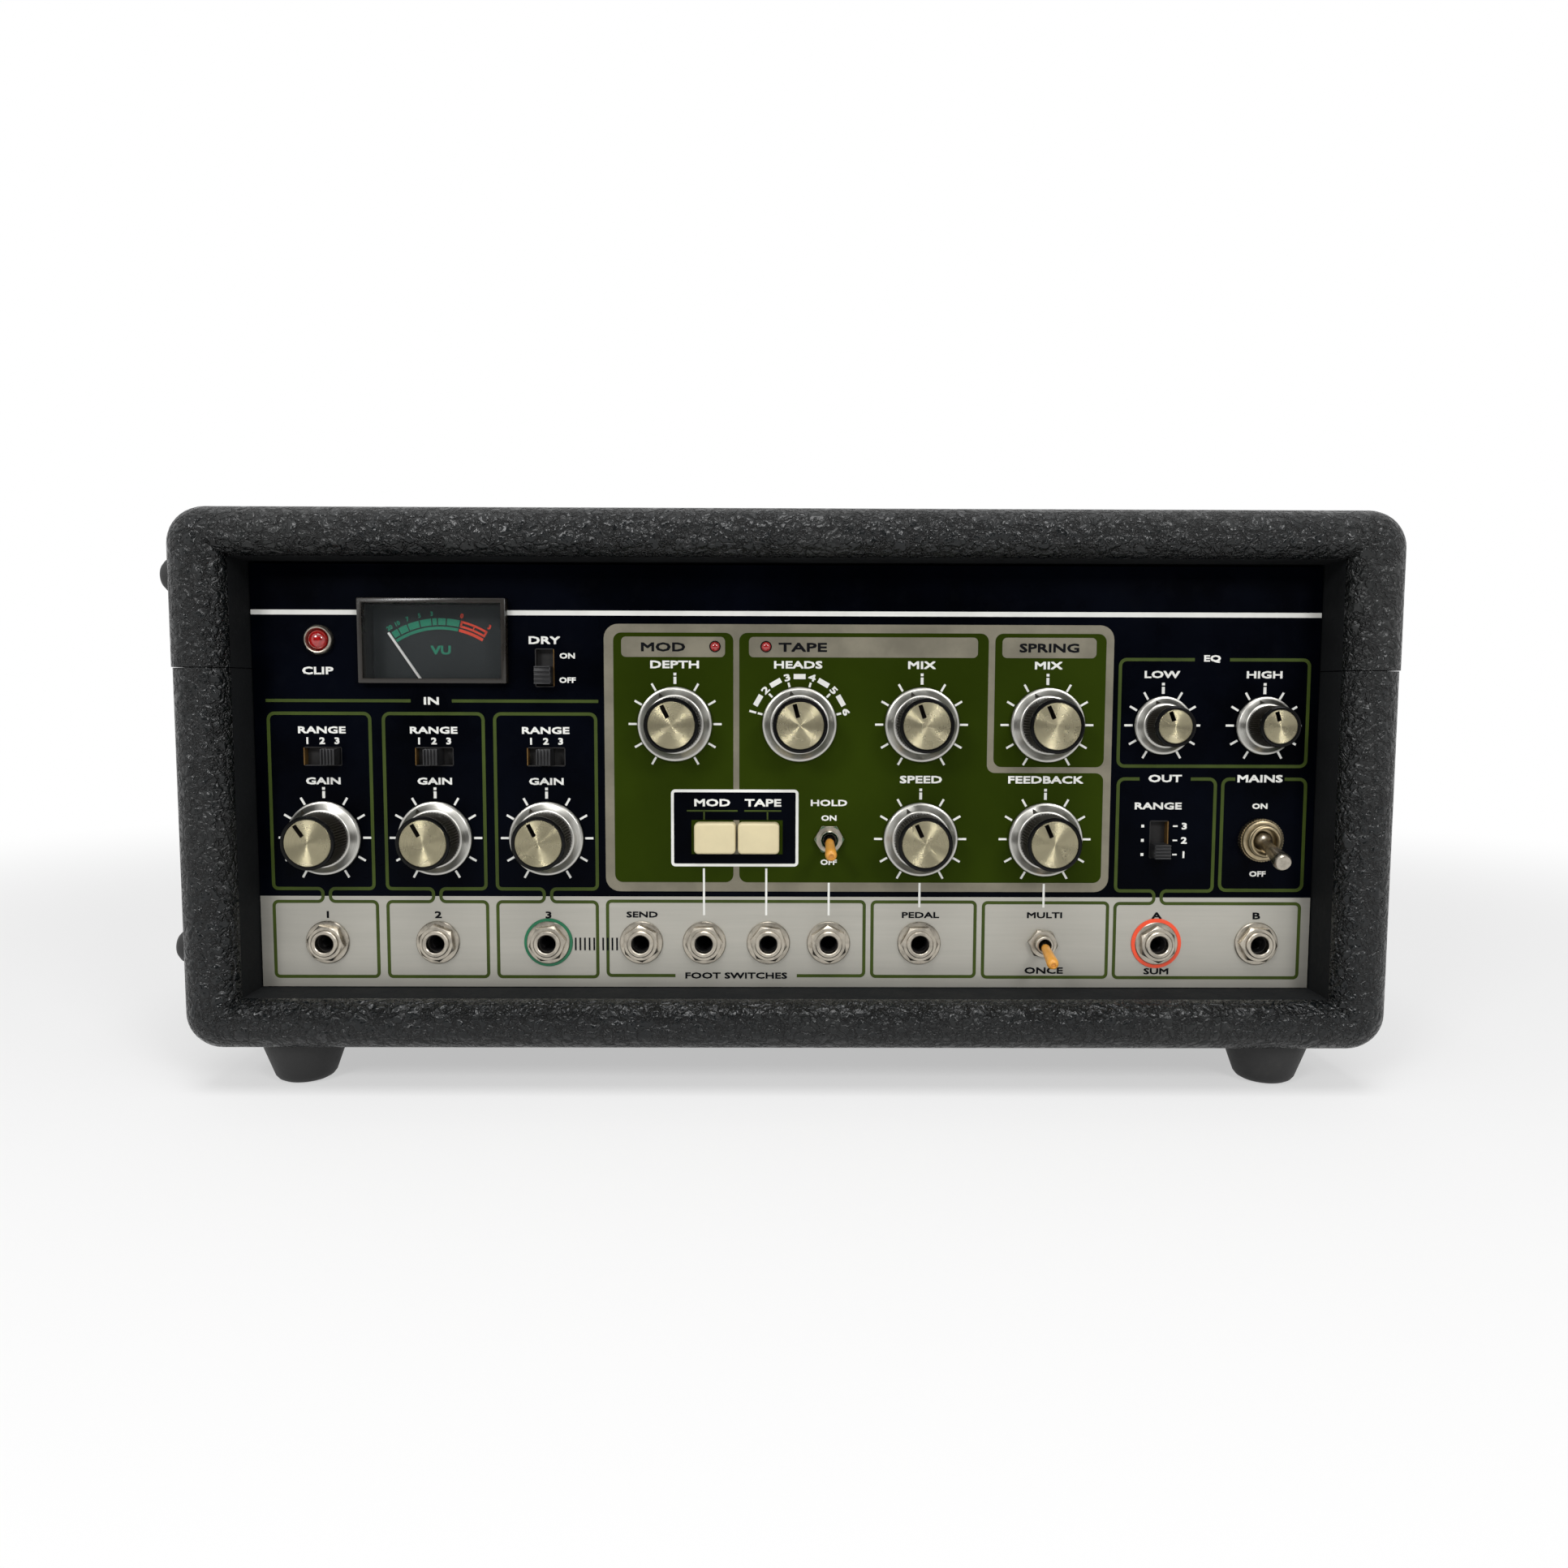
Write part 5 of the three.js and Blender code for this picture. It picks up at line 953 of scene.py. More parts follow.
def necked(x0, x1, top, neck, low, jack_x0, jack_x1, jack_top, jack_low, half_neck=1.9):
    """The corners of a frame that narrows to a neck and widens again round the jacks."""
    left, right = neck - half_neck, neck + half_neck
    return [(x0, top, KNOB_CORNER), (x1, top, KNOB_CORNER), (x1, low, SHOULDER_CORNER),
            (right, low, NECK_CORNER), (right, jack_top, NECK_CORNER), (jack_x1, jack_top, SHOULDER_CORNER),
            (jack_x1, jack_low, JACK_CORNER), (jack_x0, jack_low, JACK_CORNER),
            (jack_x0, jack_top, SHOULDER_CORNER), (left, jack_top, NECK_CORNER),
            (left, low, NECK_CORNER), (x0, low, SHOULDER_CORNER)]


def lay_lines():
    olive = Ink("print_olive", OLIVE_INK, LINE_TOP)
    for x0, x1 in INPUT_TITLE_LINES:
        olive.bar((x0 + x1) / 2, INPUT_TITLE_Y, x1 - x0, TITLE_LINE)
    for (x0, x1, jack_x0, jack_x1), x in zip(INPUT_FRAMES, INPUTS):
        corners = necked(x0, x1, INPUT_TOP, x, INPUT_WAIST, jack_x0, jack_x1, INPUT_SHOULDER, INPUT_LOW)
        olive.add(flat_ring(corners, LINE))
    for frame_box in JACK_FRAMES:
        olive.add(flat_ring(box_corners(*frame_box, JACK_CORNER), LINE))
    for corners, gap in ((necked(*OUTPUT_FRAME), OUTPUT_GAP),
                         (box_corners(*PEDAL_FRAME, JACK_CORNER), PEDAL_GAP),
                         (box_corners(*TONE_FRAME, KNOB_CORNER), TONE_GAP),
                         (box_corners(*POWER_FRAME, KNOB_CORNER), POWER_GAP)):
        olive.add(cut_away(flat_ring(corners, LINE), *gap))
    for x0, x1, stem in BRACKETS:
        olive.bar((x0 + x1) / 2, BRACKET_Y, x1 - x0, HAIRLINE)
        olive.bar(stem, STEM_Y, HAIRLINE, STEM)
    olive.lay()


lay_lines()
print("lines laid")

# %% [markdown]
# White words and marks come last. Every knob but the mode knob has eleven marks at steps of thirty
# degrees, and the top mark is split into a dot and a bar. The mode knob has six numbers with bars
# between them. The words are short, plain names of what each control does. Each table row holds a
# word, its place and its height.

# %% White words and marks
MARK, TOP_MARK, WHITE_LINE, WHITE_LINE_Y = 0.75, 1.0, 1.7, 133.3
MODE_ANGLES, MODE_BARS = range(-75, 90, 30), range(-60, 90, 30)
MODE_NUMBERS_AT, MODE_BARS_AT, MODE_BAR = 17.0, 16.8, (4.2, 1.8)
LARGE, MEDIUM, SMALL, TINY = 2.7, 2.5, 2.4, 2.0
RANGE_Y, RANGE_NUMBERS_Y, RANGE_PITCH, GAIN_Y = 92.2, 88.4, 5.2, 74.2
ON_WIDTH, OFF_WIDTH = 5.4, 5.8
WHITE_WORDS = (
    ("CLIP", -164.6, 113.0, LARGE), ("DRY", -85.1, 123.8, LARGE), ("IN", -125.1, INPUT_TITLE_Y, LARGE),
    ("DEPTH", -39.6, 115.5, LARGE), ("HEADS", 3.8, 115.5, LARGE), ("MIX", 47.3, 115.5, LARGE),
    ("MIX", 91.9, 115.5, LARGE), ("SPEED", 47.4, 75.2, LARGE), ("FEEDBACK", 91.7, 75.2, LARGE),
    ("MOD", -26.5, 66.8, LARGE), ("TAPE", -8.5, 66.8, LARGE), ("HOLD", 14.9, 66.8, 2.3),
    ("EQ", 149.5, 118.0, LARGE), ("LOW", 132.0, 112.5, 2.6), ("HIGH", 168.1, 112.5, 2.6),
    ("OUT", 134.1, 75.8, LARGE), ("MAINS", 167.8, 75.8, LARGE), ("RANGE", 131.9, 66.0, MEDIUM))
ON_OFF = ((-77.2, 118.4, 109.9), (14.9, 61.4, 45.6), (168.1, 66.0, 41.7))
OUTPUT_STEPS = (("3", 58.8), ("2", 53.7), ("1", 48.6))
DOT_X, DASH_X, DASH, STEP_X = 126.6, 138.2, 1.6, 141.4
STEMS = ((-29.5, 43.3, 26.4), (-7.3, 43.3, 26.4), (15.0, 38.2, 26.4), (47.4, 38.2, 29.4), (91.8, 38.0, 29.4))
BLACK_WORDS = (
    ("1", -163.6, 26.4, MEDIUM), ("2", -124.3, 26.4, MEDIUM), ("3", -85.0, 26.4, MEDIUM),
    ("A", 132.5, 26.5, MEDIUM), ("B", 168.3, 26.5, MEDIUM), ("SUM", 132.8, 6.3, 2.3),
    ("SEND", -51.6, 26.6, 2.2), ("PEDAL", 47.9, 26.6, 2.2), ("MULTI", 92.3, 26.6, 2.2),
    ("ONCE", 92.4, 6.5, SMALL), ("FOOT SWITCHES", -18.0, 4.5, 2.3))
PLATE_WORDS = (("MOD", -43.6, 15.5), ("TAPE", 5.4, 17.0), ("SPRING", 92.0, 21.0))
PLATE_WORD_Y, PLATE_WORD = 121.6, 3.2
HATCHES, HATCH_PITCH, HATCH_Y, HATCH = ((-75.4, 5), (-65.6, 4)), 1.65, 15.9, (0.6, 4.6)


def knob_marks(ink, x, y, inner, outer, angles):
    for angle in angles:
        across, up = around((inner + outer) / 2, angle)
        ink.bar(x + across, y + up, MARK, outer - inner, -angle)


def top_mark(ink, x, y, inner, outer):
    """A bar with a dot above it, which fill 64 and 24 hundredths of the length."""
    length = outer - inner
    ink.bar(x, y + inner + length * 0.32, TOP_MARK, length * 0.64)
    ink.bar(x, y + outer - length * 0.12, TOP_MARK, length * 0.24)


def mode_marks(ink, x, y):
    knob_marks(ink, x, y, 13.5, 15.2, MODE_ANGLES)
    for number, angle in enumerate(MODE_ANGLES, start=1):
        across, up = around(MODE_NUMBERS_AT, angle)
        ink.write(str(number), x + across, y + up, MEDIUM, turn=-angle)
    for angle in MODE_BARS:
        across, up = around(MODE_BARS_AT, angle)
        ink.bar(x + across, y + up, *MODE_BAR, -angle)


def lay_white():
    white = Ink("print_white", WHITE_INK, WORD_TOP)
    for x0, x1 in ((-HALF, METER_EDGES[0]), (METER_EDGES[1], HALF)):
        white.bar((x0 + x1) / 2, WHITE_LINE_Y, x1 - x0, WHITE_LINE)
    for name, (x, y, _) in KNOBS.items():
        if name == "mode_knob":
            mode_marks(white, x, y)
            continue
        inner, outer = (10.5, 13.4) if name in SMALL_KNOBS else (13.5, 16.4)
        knob_marks(white, x, y, inner, outer, [a for a in range(-150, 180, 30) if a])
        top_mark(white, x, y, inner + 0.6, outer + 1.6)
    for x in INPUTS:
        white.write("RANGE", x, RANGE_Y, MEDIUM)
        for number in (1, 2, 3):
            white.write(str(number), x + (number - 2) * RANGE_PITCH, RANGE_NUMBERS_Y, SMALL, stretch=1.3)
        white.write("GAIN", x, GAIN_Y, MEDIUM)
    for word in WHITE_WORDS:
        white.write(*word)
    for x, on_y, off_y in ON_OFF:
        white.write("ON", x, on_y, TINY, ON_WIDTH)
        white.write("OFF", x, off_y, TINY, OFF_WIDTH)
    for number, y in OUTPUT_STEPS:
        white.bar(DOT_X, y, TOP_MARK, TOP_MARK)
        white.bar(DASH_X, y, DASH, HAIRLINE)
        white.write(number, STEP_X, y, SMALL, stretch=1.4)
    for x, high, low in STEMS:
        white.bar(x, (high + low) / 2, MARK, high - low)
    white.add(flat_ring(box_corners(*BUTTON_PLATE, BUTTON_ROUND), 1.0))
    white.lay()


def lay_black():
    black = Ink("print_black", BLACK_INK, WORD_TOP)
    for word in BLACK_WORDS:
        black.write(*word)
    for text, x, width in PLATE_WORDS:
        black.write(text, x, PLATE_WORD_Y, PLATE_WORD, width)
    for first, count in HATCHES:
        for i in range(count):
            black.bar(first + HATCH_PITCH * i, HATCH_Y, *HATCH)
    black.lay()


lay_white()
lay_black()
print("words laid")

# %% [markdown]
# A knob has three visible parts. The skirt is a shallow cone of bright metal with a small black
# triangle on it. The grip is black plastic with fine flutes and a glossy lip. The cap is a turned
# metal disc in the lip, with a dark groove milled into it as the pointer.

# %% Knobs
FLUTES, FLUTE_SHARE, GROOVE = 60, 0.93, 1.5
SHOULDER_STEP, GRIP_FOOT, LIP_DEPTH, CAP_SINK, MARK_DEPTH = 0.55, 4.2, 0.6, 0.12, 0.12
LARGE_KNOB, SMALL_KNOB = (13.15, 9.7, 9.25, 16.0), (10.3, 7.25, 6.95, 14.4)


def face_map(bm):
    """A flat map whose zero is the axis, in metres, for the turned finishes."""
    layer = bm.loops.layers.uv.new("face")
    for face in bm.faces:
        for loop in face.loops:
            loop[layer].uv = (loop.vert.co.x * MM, loop.vert.co.y * MM)


def knob_skirt(skirt, shoulder):
    profile = [(shoulder - 1.0, 0.8), (skirt - 0.5, 0.8), (skirt - 0.1, 1.0), (skirt, 1.35), (skirt, 1.75),
               (skirt - 0.2, 2.05), (skirt - 0.75, 2.15), (skirt - 0.95, 2.3), (shoulder + 0.25, 3.9),
               (shoulder, 4.25), (shoulder - 0.3, 4.4), (shoulder - 1.0, 4.4)]
    return spun(profile, 72, closed=True)


def fluted(bm, flutes, share):
    """Draws every second corner of a many-sided bar in to a share of its radius."""
    for v in bm.verts:
        if round(math.atan2(v.co.y, v.co.x) / (math.pi / flutes)) % 2:
            v.co.x, v.co.y = v.co.x * share, v.co.y * share
    return bm


def knob_grip(radius, top, height):
    """The fluted barrel, with the glossy lip round its end."""
    bm = bar(radius, height - GRIP_FOOT - LIP_DEPTH, 2 * FLUTES, z=(height - LIP_DEPTH + GRIP_FOOT) / 2,
             top=top)
    fluted(bm, FLUTES, FLUTE_SHARE)
    lip = spun([(top - 1.6, height - 1.2), (top - 0.1, height - 1.2), (top + 0.12, height - 0.9),
                (top + 0.12, height - 0.45), (top - 0.1, height - 0.1), (top - 0.5, height),
                (top - 0.95, height - 0.05), (top - 1.15, height - 0.3), (top - 1.2, height - 0.6)],
               72, closed=True)
    return absorb(bm, lip, finish=1)


def knob_cap(radius, height):
    """The turned disc with its pointer groove cut in."""
    disc = spun([(0.0, height - 1.4), (radius, height - 1.4), (radius, height - 0.3),
                 (radius - 0.2, height - CAP_SINK), (0.0, height - CAP_SINK)], 72)
    groove = block((-GROOVE / 2, 0.34 * radius, height - 0.6), (GROOVE / 2, 0.93 * radius, height + 1.0), 0.2)
    disc = carved(disc, groove)
    for face in disc.faces:
        middle = face.calc_center_median()
        in_groove = abs(middle.x) < GROOVE / 2 + 0.01 and 0.33 * radius < middle.y < 0.94 * radius
        face.material_index = 1 if in_groove and middle.z < height - CAP_SINK - 0.01 else 0
    return disc


def skirt_mark(inner, outer, z_in, z_out):
    bm = bmesh.new()
    corners = [(-0.85, inner, z_in), (0.85, inner, z_in), (0.0, outer, z_out)]
    bm.faces.new([bm.verts.new(corner) for corner in corners])
    return raised(bm, MARK_DEPTH)


def add_knob(name, x, y, turn):
    """A knob from the radii of its skirt, its grip and the grip's end, and its height."""
    skirt, radius, top, height = SMALL_KNOB if name in SMALL_KNOBS else LARGE_KNOB
    place = on_front(x, y, 0.0, turn)
    metal = knob_skirt(skirt, radius + SHOULDER_STEP)
    cap = knob_cap(top - 1.15, height)
    for face in cap.faces:
        face.material_index += 1
    absorb(metal, cap)
    face_map(metal)
    add_piece(name + "_metal", metal, [SKIRT_METAL, CAP_METAL, DARK_MARK], place, name,
              replaces=[name])
    grip = knob_grip(radius, top, height)
    absorb(grip, skirt_mark(radius + 1.0, skirt - 1.0, 3.75, 2.35))
    add_piece(name + "_grip", grip, [GRIP_PLASTIC, GLOSS_BLACK], place, name)


for knob, (x, y, turn) in KNOBS.items():
    add_knob(knob, x, y, turn)
print("knobs turned", len(KNOBS))

# %% [markdown]
# The jack board stays as it is behind the panel. Its front end is cut off at the panel's rear face,
# and finer sleeves, washers and nuts take its place, each nut turned by its own small angle.

# %% Jacks
PANEL_REAR, BUSH_END, SHADE_TOP, ON_STRIP = -2.1, -2.0, 1.2, 0.12
JACK_NUT, JACK_NUT_BORE, JACK_THREAD, JACK_BORE = 6.75, 4.7, 4.75, 3.2
RING_INNER, GREEN_RING_OUTER, ORANGE_RING_OUTER = 6.0, 8.7, 9.0
NODE_MERGE = 0.000002


def rear_of(name):
    """A copy of a part's mesh, merged, in the drawing's frame, cut off and closed at the panel's rear."""
    bm = bmesh.new()
    bm.from_mesh(nodes[name].data)
    bmesh.ops.remove_doubles(bm, verts=bm.verts[:], dist=NODE_MERGE)
    bm.transform(FRONT.inverted())
    halved(bm, (0, 0, PANEL_REAR), (0, 0, 1), clear=True)
    rims = [e for e in bm.edges
            if e.is_boundary and all(abs(v.co.z - PANEL_REAR) < 0.001 for v in e.verts)]
    bmesh.ops.triangle_fill(bm, use_beauty=True, edges=rims, normal=(0, 0, 1))
    return bm


def hex_nut(radius, low, high, bore, turn):
    """A chamfered hexagon: a six-sided bar cut by a cone, with a round hole."""
    middle = (low + high) / 2
    bm = bar(radius, high - low, 6, z=middle, turn=turn)
    cone = spun([(0.0, low - 1.0), (radius + 0.3, low - 1.0), (radius + 0.3, high - 1.0),
                 (radius * 0.86, high - 0.02), (radius * 0.8, high), (0.0, high)], 48)
    return carved(carved(bm, cone, "INTERSECT"), bar(bore, 4 * (high - low), 32, z=middle))


def threaded(radius, low, high, pitch=0.5, depth=0.14):
    """The outer profile of a fine thread from low to high."""
    points, z = [], low
    while z < high - 0.3:
        points += [(radius - depth, z), (radius, z + pitch / 2)]
        z += pitch
    return points + [(radius - 0.15, high - 0.12), (radius - 0.3, high)]


def jack_metal(turn):
    """A washer, a nut and the threaded sleeve with the rounded mouth of its bore."""
    washer = [(5.9, ON_STRIP), (7.5, ON_STRIP), (7.68, 0.3), (7.68, 0.7), (7.45, 0.95), (6.6, 1.05),
              (5.9, 1.05)]
    mouth = [(3.55, 4.2), (3.25, 4.0), (JACK_BORE, 3.6), (JACK_BORE, BUSH_END), (4.6, BUSH_END)]
    bm = spun(washer, 64, closed=True)
    absorb(bm, hex_nut(JACK_NUT, 1.0, 3.3, JACK_NUT_BORE, turn))
    return absorb(bm, spun(threaded(JACK_THREAD, 0.2, 4.2) + mouth, 48, closed=True))


def jack_shade():
    """A dark lining inside the socket, behind its bright mouth, as painted shade."""
    outer, inner = JACK_BORE - 0.01, JACK_BORE - 0.2
    return spun([(outer, SHADE_TOP), (outer, BUSH_END), (inner, BUSH_END - 0.05), (inner, SHADE_TOP)],
                32, closed=True)


def add_jacks():
    random.seed(7)
    board = rear_of("jack_board")
    metal, shade = bmesh.new(), bmesh.new()
    for x in JACKS:
        place = Matrix.Translation((x, ROW_JACK, 0.0))
        absorb(metal, jack_metal(random.uniform(0, 60)), place)
        absorb(shade, jack_shade(), place)
    add_piece("jack_board_rear", board, [BLACK_PLASTIC], replaces=["jack_board"])
    add_piece("jack_nuts", metal, [NICKEL])
    # Painted shade: dark linings inside the bores of the jacks.
    add_piece("jack_sockets", shade, [POCKET_DARK])
    for name, finish, x, outer in (("ring_green", GREEN_RING, INPUTS[2], GREEN_RING_OUTER),
                                   ("ring_orange", ORANGE_RING, OUTPUTS[0], ORANGE_RING_OUTER)):
        ring = spun([(RING_INNER, ON_STRIP), (outer - 0.2, ON_STRIP), (outer, 0.3), (outer - 0.1, 0.55),
                     (RING_INNER, 0.6)], 64, closed=True)
        add_piece(name, ring, [finish], on_front(x, ROW_JACK))


add_jacks()
print("jacks", len(JACKS))

# %% [markdown]
# The switches. A small toggle has a hexagon nut on a threaded bush and an orange sleeve on its lever,
# and the power switch has a fluted ring and a bare metal lever with a thick end. The levers are
# modelled upright and then tilted down about the pivot inside the bush. A dark disc closes each bush
# as painted shade inside it.

# %% Toggle switches
HOLD, DELAY, POWER = (PEDALS[2], ROW_LOW), (91.7, ROW_JACK), (OUTPUTS[1], ROW_LOW)
SMALL_PIVOT, SMALL_TILT = 2.6, 15.0
POWER_PIVOT, POWER_TILT = 2.4, 17.0
SMALL_NUT, SMALL_NUT_BORE, SMALL_THREAD = 5.35, 3.1, 3.2
POWER_RING, POWER_FLUTES, POWER_FLUTE_SHARE, POWER_THREAD = (7.8, 7.7, 2.3, 1.3), 48, 0.965, 5.8
RING_LIP = [(5.6, 2.0), (7.35, 2.0), (7.35, 2.7), (7.0, 3.3), (6.4, 3.5), (5.6, 3.5)]
RING_MOUTH = [(5.35, 5.85), (5.0, 6.0), (4.6, 5.9), (4.3, 5.4), (4.2, 4.4), (4.2, BUSH_END), (5.6, BUSH_END),
              (5.6, 3.0)]
POWER_BAT = [(0.0, -3.4), (2.2, -2.7), (3.3, -1.0), (3.5, 0.0), (3.2, 1.4), (2.4, 2.6), (2.0, 3.4),
             (1.95, 5.0), (2.1, 9.0), (2.5, 13.0), (2.9, 16.0), (3.05, 17.2), (2.95, 18.1), (2.5, 18.75), (1.8, 19.0),
             (0.0, 19.0)]


def tilted(x, y, pivot, tilt):
    return on_front(x, y, pivot) @ Matrix.Rotation(math.radians(tilt), 4, "X")


def small_bush(turn):
    mouth = [(2.35, 4.6), (2.15, 4.3), (2.0, 3.0), (2.0, BUSH_END), (SMALL_NUT_BORE, BUSH_END)]
    bm = hex_nut(SMALL_NUT, ON_STRIP, 2.35, SMALL_NUT_BORE, turn)
    return absorb(bm, spun(threaded(SMALL_THREAD, 0.1, 4.6) + mouth, 40, closed=True))


def small_lever():
    bm = spun([(0.0, -1.2), (1.1, -1.0), (1.1, 3.0), (0.0, 3.0)], 24)
    sleeve = spun([(1.0, 2.4), (1.4, 2.4), (1.55, 3.0), (1.75, 8.0), (2.02, 13.0), (2.05, 13.8), (1.9, 14.7),
                   (1.45, 15.3), (1.0, 15.5), (0.85, 15.3), (0.8, 14.9), (0.0, 14.8)], 40)
    return absorb(bm, sleeve, finish=1)


def power_ring():
    """A finely fluted ring, the lip on it, and the threaded bush."""
    low, high, depth, middle = POWER_RING
    ring = fluted(bar(low, depth, 2 * POWER_FLUTES, z=middle, top=high), POWER_FLUTES, POWER_FLUTE_SHARE)
    absorb(ring, spun(RING_LIP, 64, closed=True))
    return absorb(ring, spun(threaded(POWER_THREAD, 3.0, 5.3) + RING_MOUTH, 64, closed=True))


def disc(radius, top, segments):
    return spun([(0.0, 0.4), (radius, 0.4), (radius, top), (0.0, top)], segments)


def add_toggles():
    metal, shade = bmesh.new(), bmesh.new()
    for spot, turn in ((HOLD, 30.0), (DELAY, 22.0)):
        absorb(metal, small_bush(turn), Matrix.Translation((*spot, 0.0)))
        absorb(shade, disc(2.05, 0.8, 24), Matrix.Translation((*spot, 0.0)))
    absorb(metal, power_ring(), Matrix.Translation((*POWER, 0.0)), finish=1)
    absorb(shade, disc(4.25, 1.2, 32), Matrix.Translation((*POWER, 0.0)))
    add_piece("toggle_nuts", metal, [NICKEL, AGED_BRASS])
    # Painted shade: the dark discs inside the bushes.
    add_piece("toggle_shades", shade, [POCKET_DARK])
    for which, spot in (("hold", HOLD), ("delay", DELAY)):
        add_piece(which + "_toggle_lever_sleeve", small_lever(), [NICKEL, ORANGE_PLASTIC],
                  tilted(*spot, SMALL_PIVOT, SMALL_TILT), which + "_lever",
                  replaces=[which + "_toggle_lever"])
    add_piece("power_lever_bat", spun(POWER_BAT, 48), [NICKEL], tilted(*POWER, POWER_PIVOT, POWER_TILT),
              "power_lever", replaces=["power_toggle_lever"])
    add_piece("power_switch_rear", rear_of("power_toggle_body"), [BLACK_PLASTIC],
              replaces=["power_toggle_body"])


add_toggles()
print("toggles ready")

# %% [markdown]
# The slide switches lie in windows of the panel. A liner closes each window at the back, with one
# side wall of bright brown metal where the photograph shows it, and the caps have ribs across their
# travel. The push buttons are pillows of cream plastic in one common window.

# %% Slide switches and push buttons
LEVEL_WINDOW, TALL_WINDOW = (13.6, 6.8), (6.8, 13.6)
WINDOWS = [(x, 82.9, *LEVEL_WINDOW, "left") for x in INPUTS]
WINDOWS += [(-85.2, 114.2, *TALL_WINDOW, "right"), (OUTPUTS[0], ROW_LOW, *TALL_WINDOW, "right")]
LINER_WALL, BUTTON_WALL, LINER_TOP, LINER_FLOOR, LINER_SHEET = 0.35, 0.3, -0.15, -3.4, 0.4
RIBS, RIB, RIB_ROUND, RIB_INSET, RIB_DEPTH, CAP_ROUND = 5, 0.5, 0.14, 0.1, 1.5, 0.2
PILLOW_CORNER, PILLOW_EDGE = 1.5, 0.85


def drawn_box(name):
    """The corners of a part's box in the drawing's frame, in millimetres."""
    low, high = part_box(name)
    inverse = FRONT.inverted()
    a, b = inverse @ Vector((low.x, high.y, low.z)), inverse @ Vector((high.x, low.y, high.z))
    return a, b


def liner(x0, y0, x1, y1, wall, finish, gold_side=None):
    """Four walls and a floor round a window. One of the walls can be bright."""
    bm = bmesh.new()
    walls = {"left": ((x0, y0), (x0 + wall, y1)), "right": ((x1 - wall, y0), (x1, y1)),
             "low": ((x0, y0), (x1, y0 + wall)), "high": ((x0, y1 - wall), (x1, y1))}
    for side, (a, b) in walls.items():
        absorb(bm, block((*a, LINER_FLOOR), (*b, LINER_TOP)), finish=1 if side == gold_side else finish)
    return absorb(bm, block((x0, y0, LINER_FLOOR - LINER_SHEET), (x1, y1, LINER_FLOOR)), finish=finish)


def ribbed_cap(name, across_x):
    """A slide cap whose ribs stand in a row along x or along y."""
    low, high = drawn_box(name)
    bm = block((low.x, low.y, low.z + 0.3), (high.x, high.y, high.z - 0.7), CAP_ROUND)
    along, over = (0, 1) if across_x else (1, 0)
    pitch = (high[along] - low[along] - RIB) / (RIBS - 1)
    for i in range(RIBS):
        a, b = low.copy(), high.copy()
        a[along] = low[along] + i * pitch
        b[along] = a[along] + RIB
        a[over], b[over] = low[over] + RIB_INSET, high[over] - RIB_INSET
        a.z = high.z - RIB_DEPTH
        absorb(bm, block(a, b, RIB_ROUND))
    return bm


def pillow(name):
    low, high = drawn_box(name)
    bm = flat_patch(box_corners(low.x, low.y, high.x, high.y, PILLOW_CORNER))
    bmesh.ops.translate(bm, verts=bm.verts[:], vec=(0.0, 0.0, low.z))
    raised(bm, high.z - low.z)
    bevel(bm, [e for e in bm.edges if all(abs(v.co.z - high.z) < 0.001 for v in e.verts)], PILLOW_EDGE, 4)
    return bm


def add_slides():
    liners = bmesh.new()
    for x, y, width, height, side in WINDOWS:
        corners = (x - width / 2, y - height / 2, x + width / 2, y + height / 2)
        absorb(liners, liner(*corners, LINER_WALL, 0, side))
    absorb(liners, liner(*BUTTON_WINDOW, BUTTON_WALL, 2))
    add_piece("window_liners", liners, [POCKET_DARK, POCKET_GOLD, POCKET_BROWN])
    for body in ("level_cap_1", "level_cap_2", "level_cap_3", "direct_cap", "output_cap"):
        node = body.replace("_cap", "_switch_cap")
        add_piece(body + "_ribbed", ribbed_cap(node, body.startswith("level")), [BLACK_PLASTIC], FRONT, body,
                  replaces=[node])
    for side in ("left", "right"):
        add_piece("button_%s_face" % side, pillow("effect_button_" + side), [CREAM_PLASTIC], FRONT,
                  "button_" + side, replaces=["effect_button_" + side])


add_slides()
print("windows", len(WINDOWS))

# %% [markdown]
# The lamps are red domes, the large one in a bright ring.

# %% Lamps
LAMP_RING = [(3.4, 0.1), (5.15, 0.1), (5.25, 0.4), (5.2, 1.2), (4.95, 1.9), (4.5, 2.3), (4.1, 2.25),
             (3.75, 1.8), (3.5, 1.1), (3.4, 0.9)]
LAMP_DOME = [(0.0, 0.3), (3.42, 0.3), (3.4, 1.3), (3.1, 2.2), (2.5, 2.9), (1.7, 3.35), (0.8, 3.57),
             (0.0, 3.6)]
LED_DOME = [(0.0, -2.0), (1.65, -2.0), (1.65, 0.3), (1.5, 0.75), (1.1, 1.1), (0.5, 1.3), (0.0, 1.35)]
LED_RIM = [(1.62, 0.0), (2.0, 0.0), (2.0, 0.3), (1.62, 0.35)]


def add_lamp_dome(name, bm, finishes):
    middle = sum(drawn_box(name), Vector()) / 2
    add_piece(name + "_dome", bm, finishes, on_front(middle.x, middle.y), replaces=[name])


def add_lamps():
    lamp = absorb(spun(LAMP_RING, 64, closed=True), spun(LAMP_DOME, 48), finish=1)
    add_lamp_dome("peak_lamp", lamp, [NICKEL, RED_LENS])
    for name in ("led_left", "led_right"):
        led = absorb(spun(LED_DOME, 32), spun(LED_RIM, 32, closed=True), finish=1)
        add_lamp_dome(name, led, [RED_LENS, GLOSS_BLACK])


add_lamps()
print("lamps ready")

# %% [markdown]
# The meter. Its dial is dark grey, with a green scale that turns red at its right end. The scale is
# printed in arcs round the needle's pivot, which lies below the window.

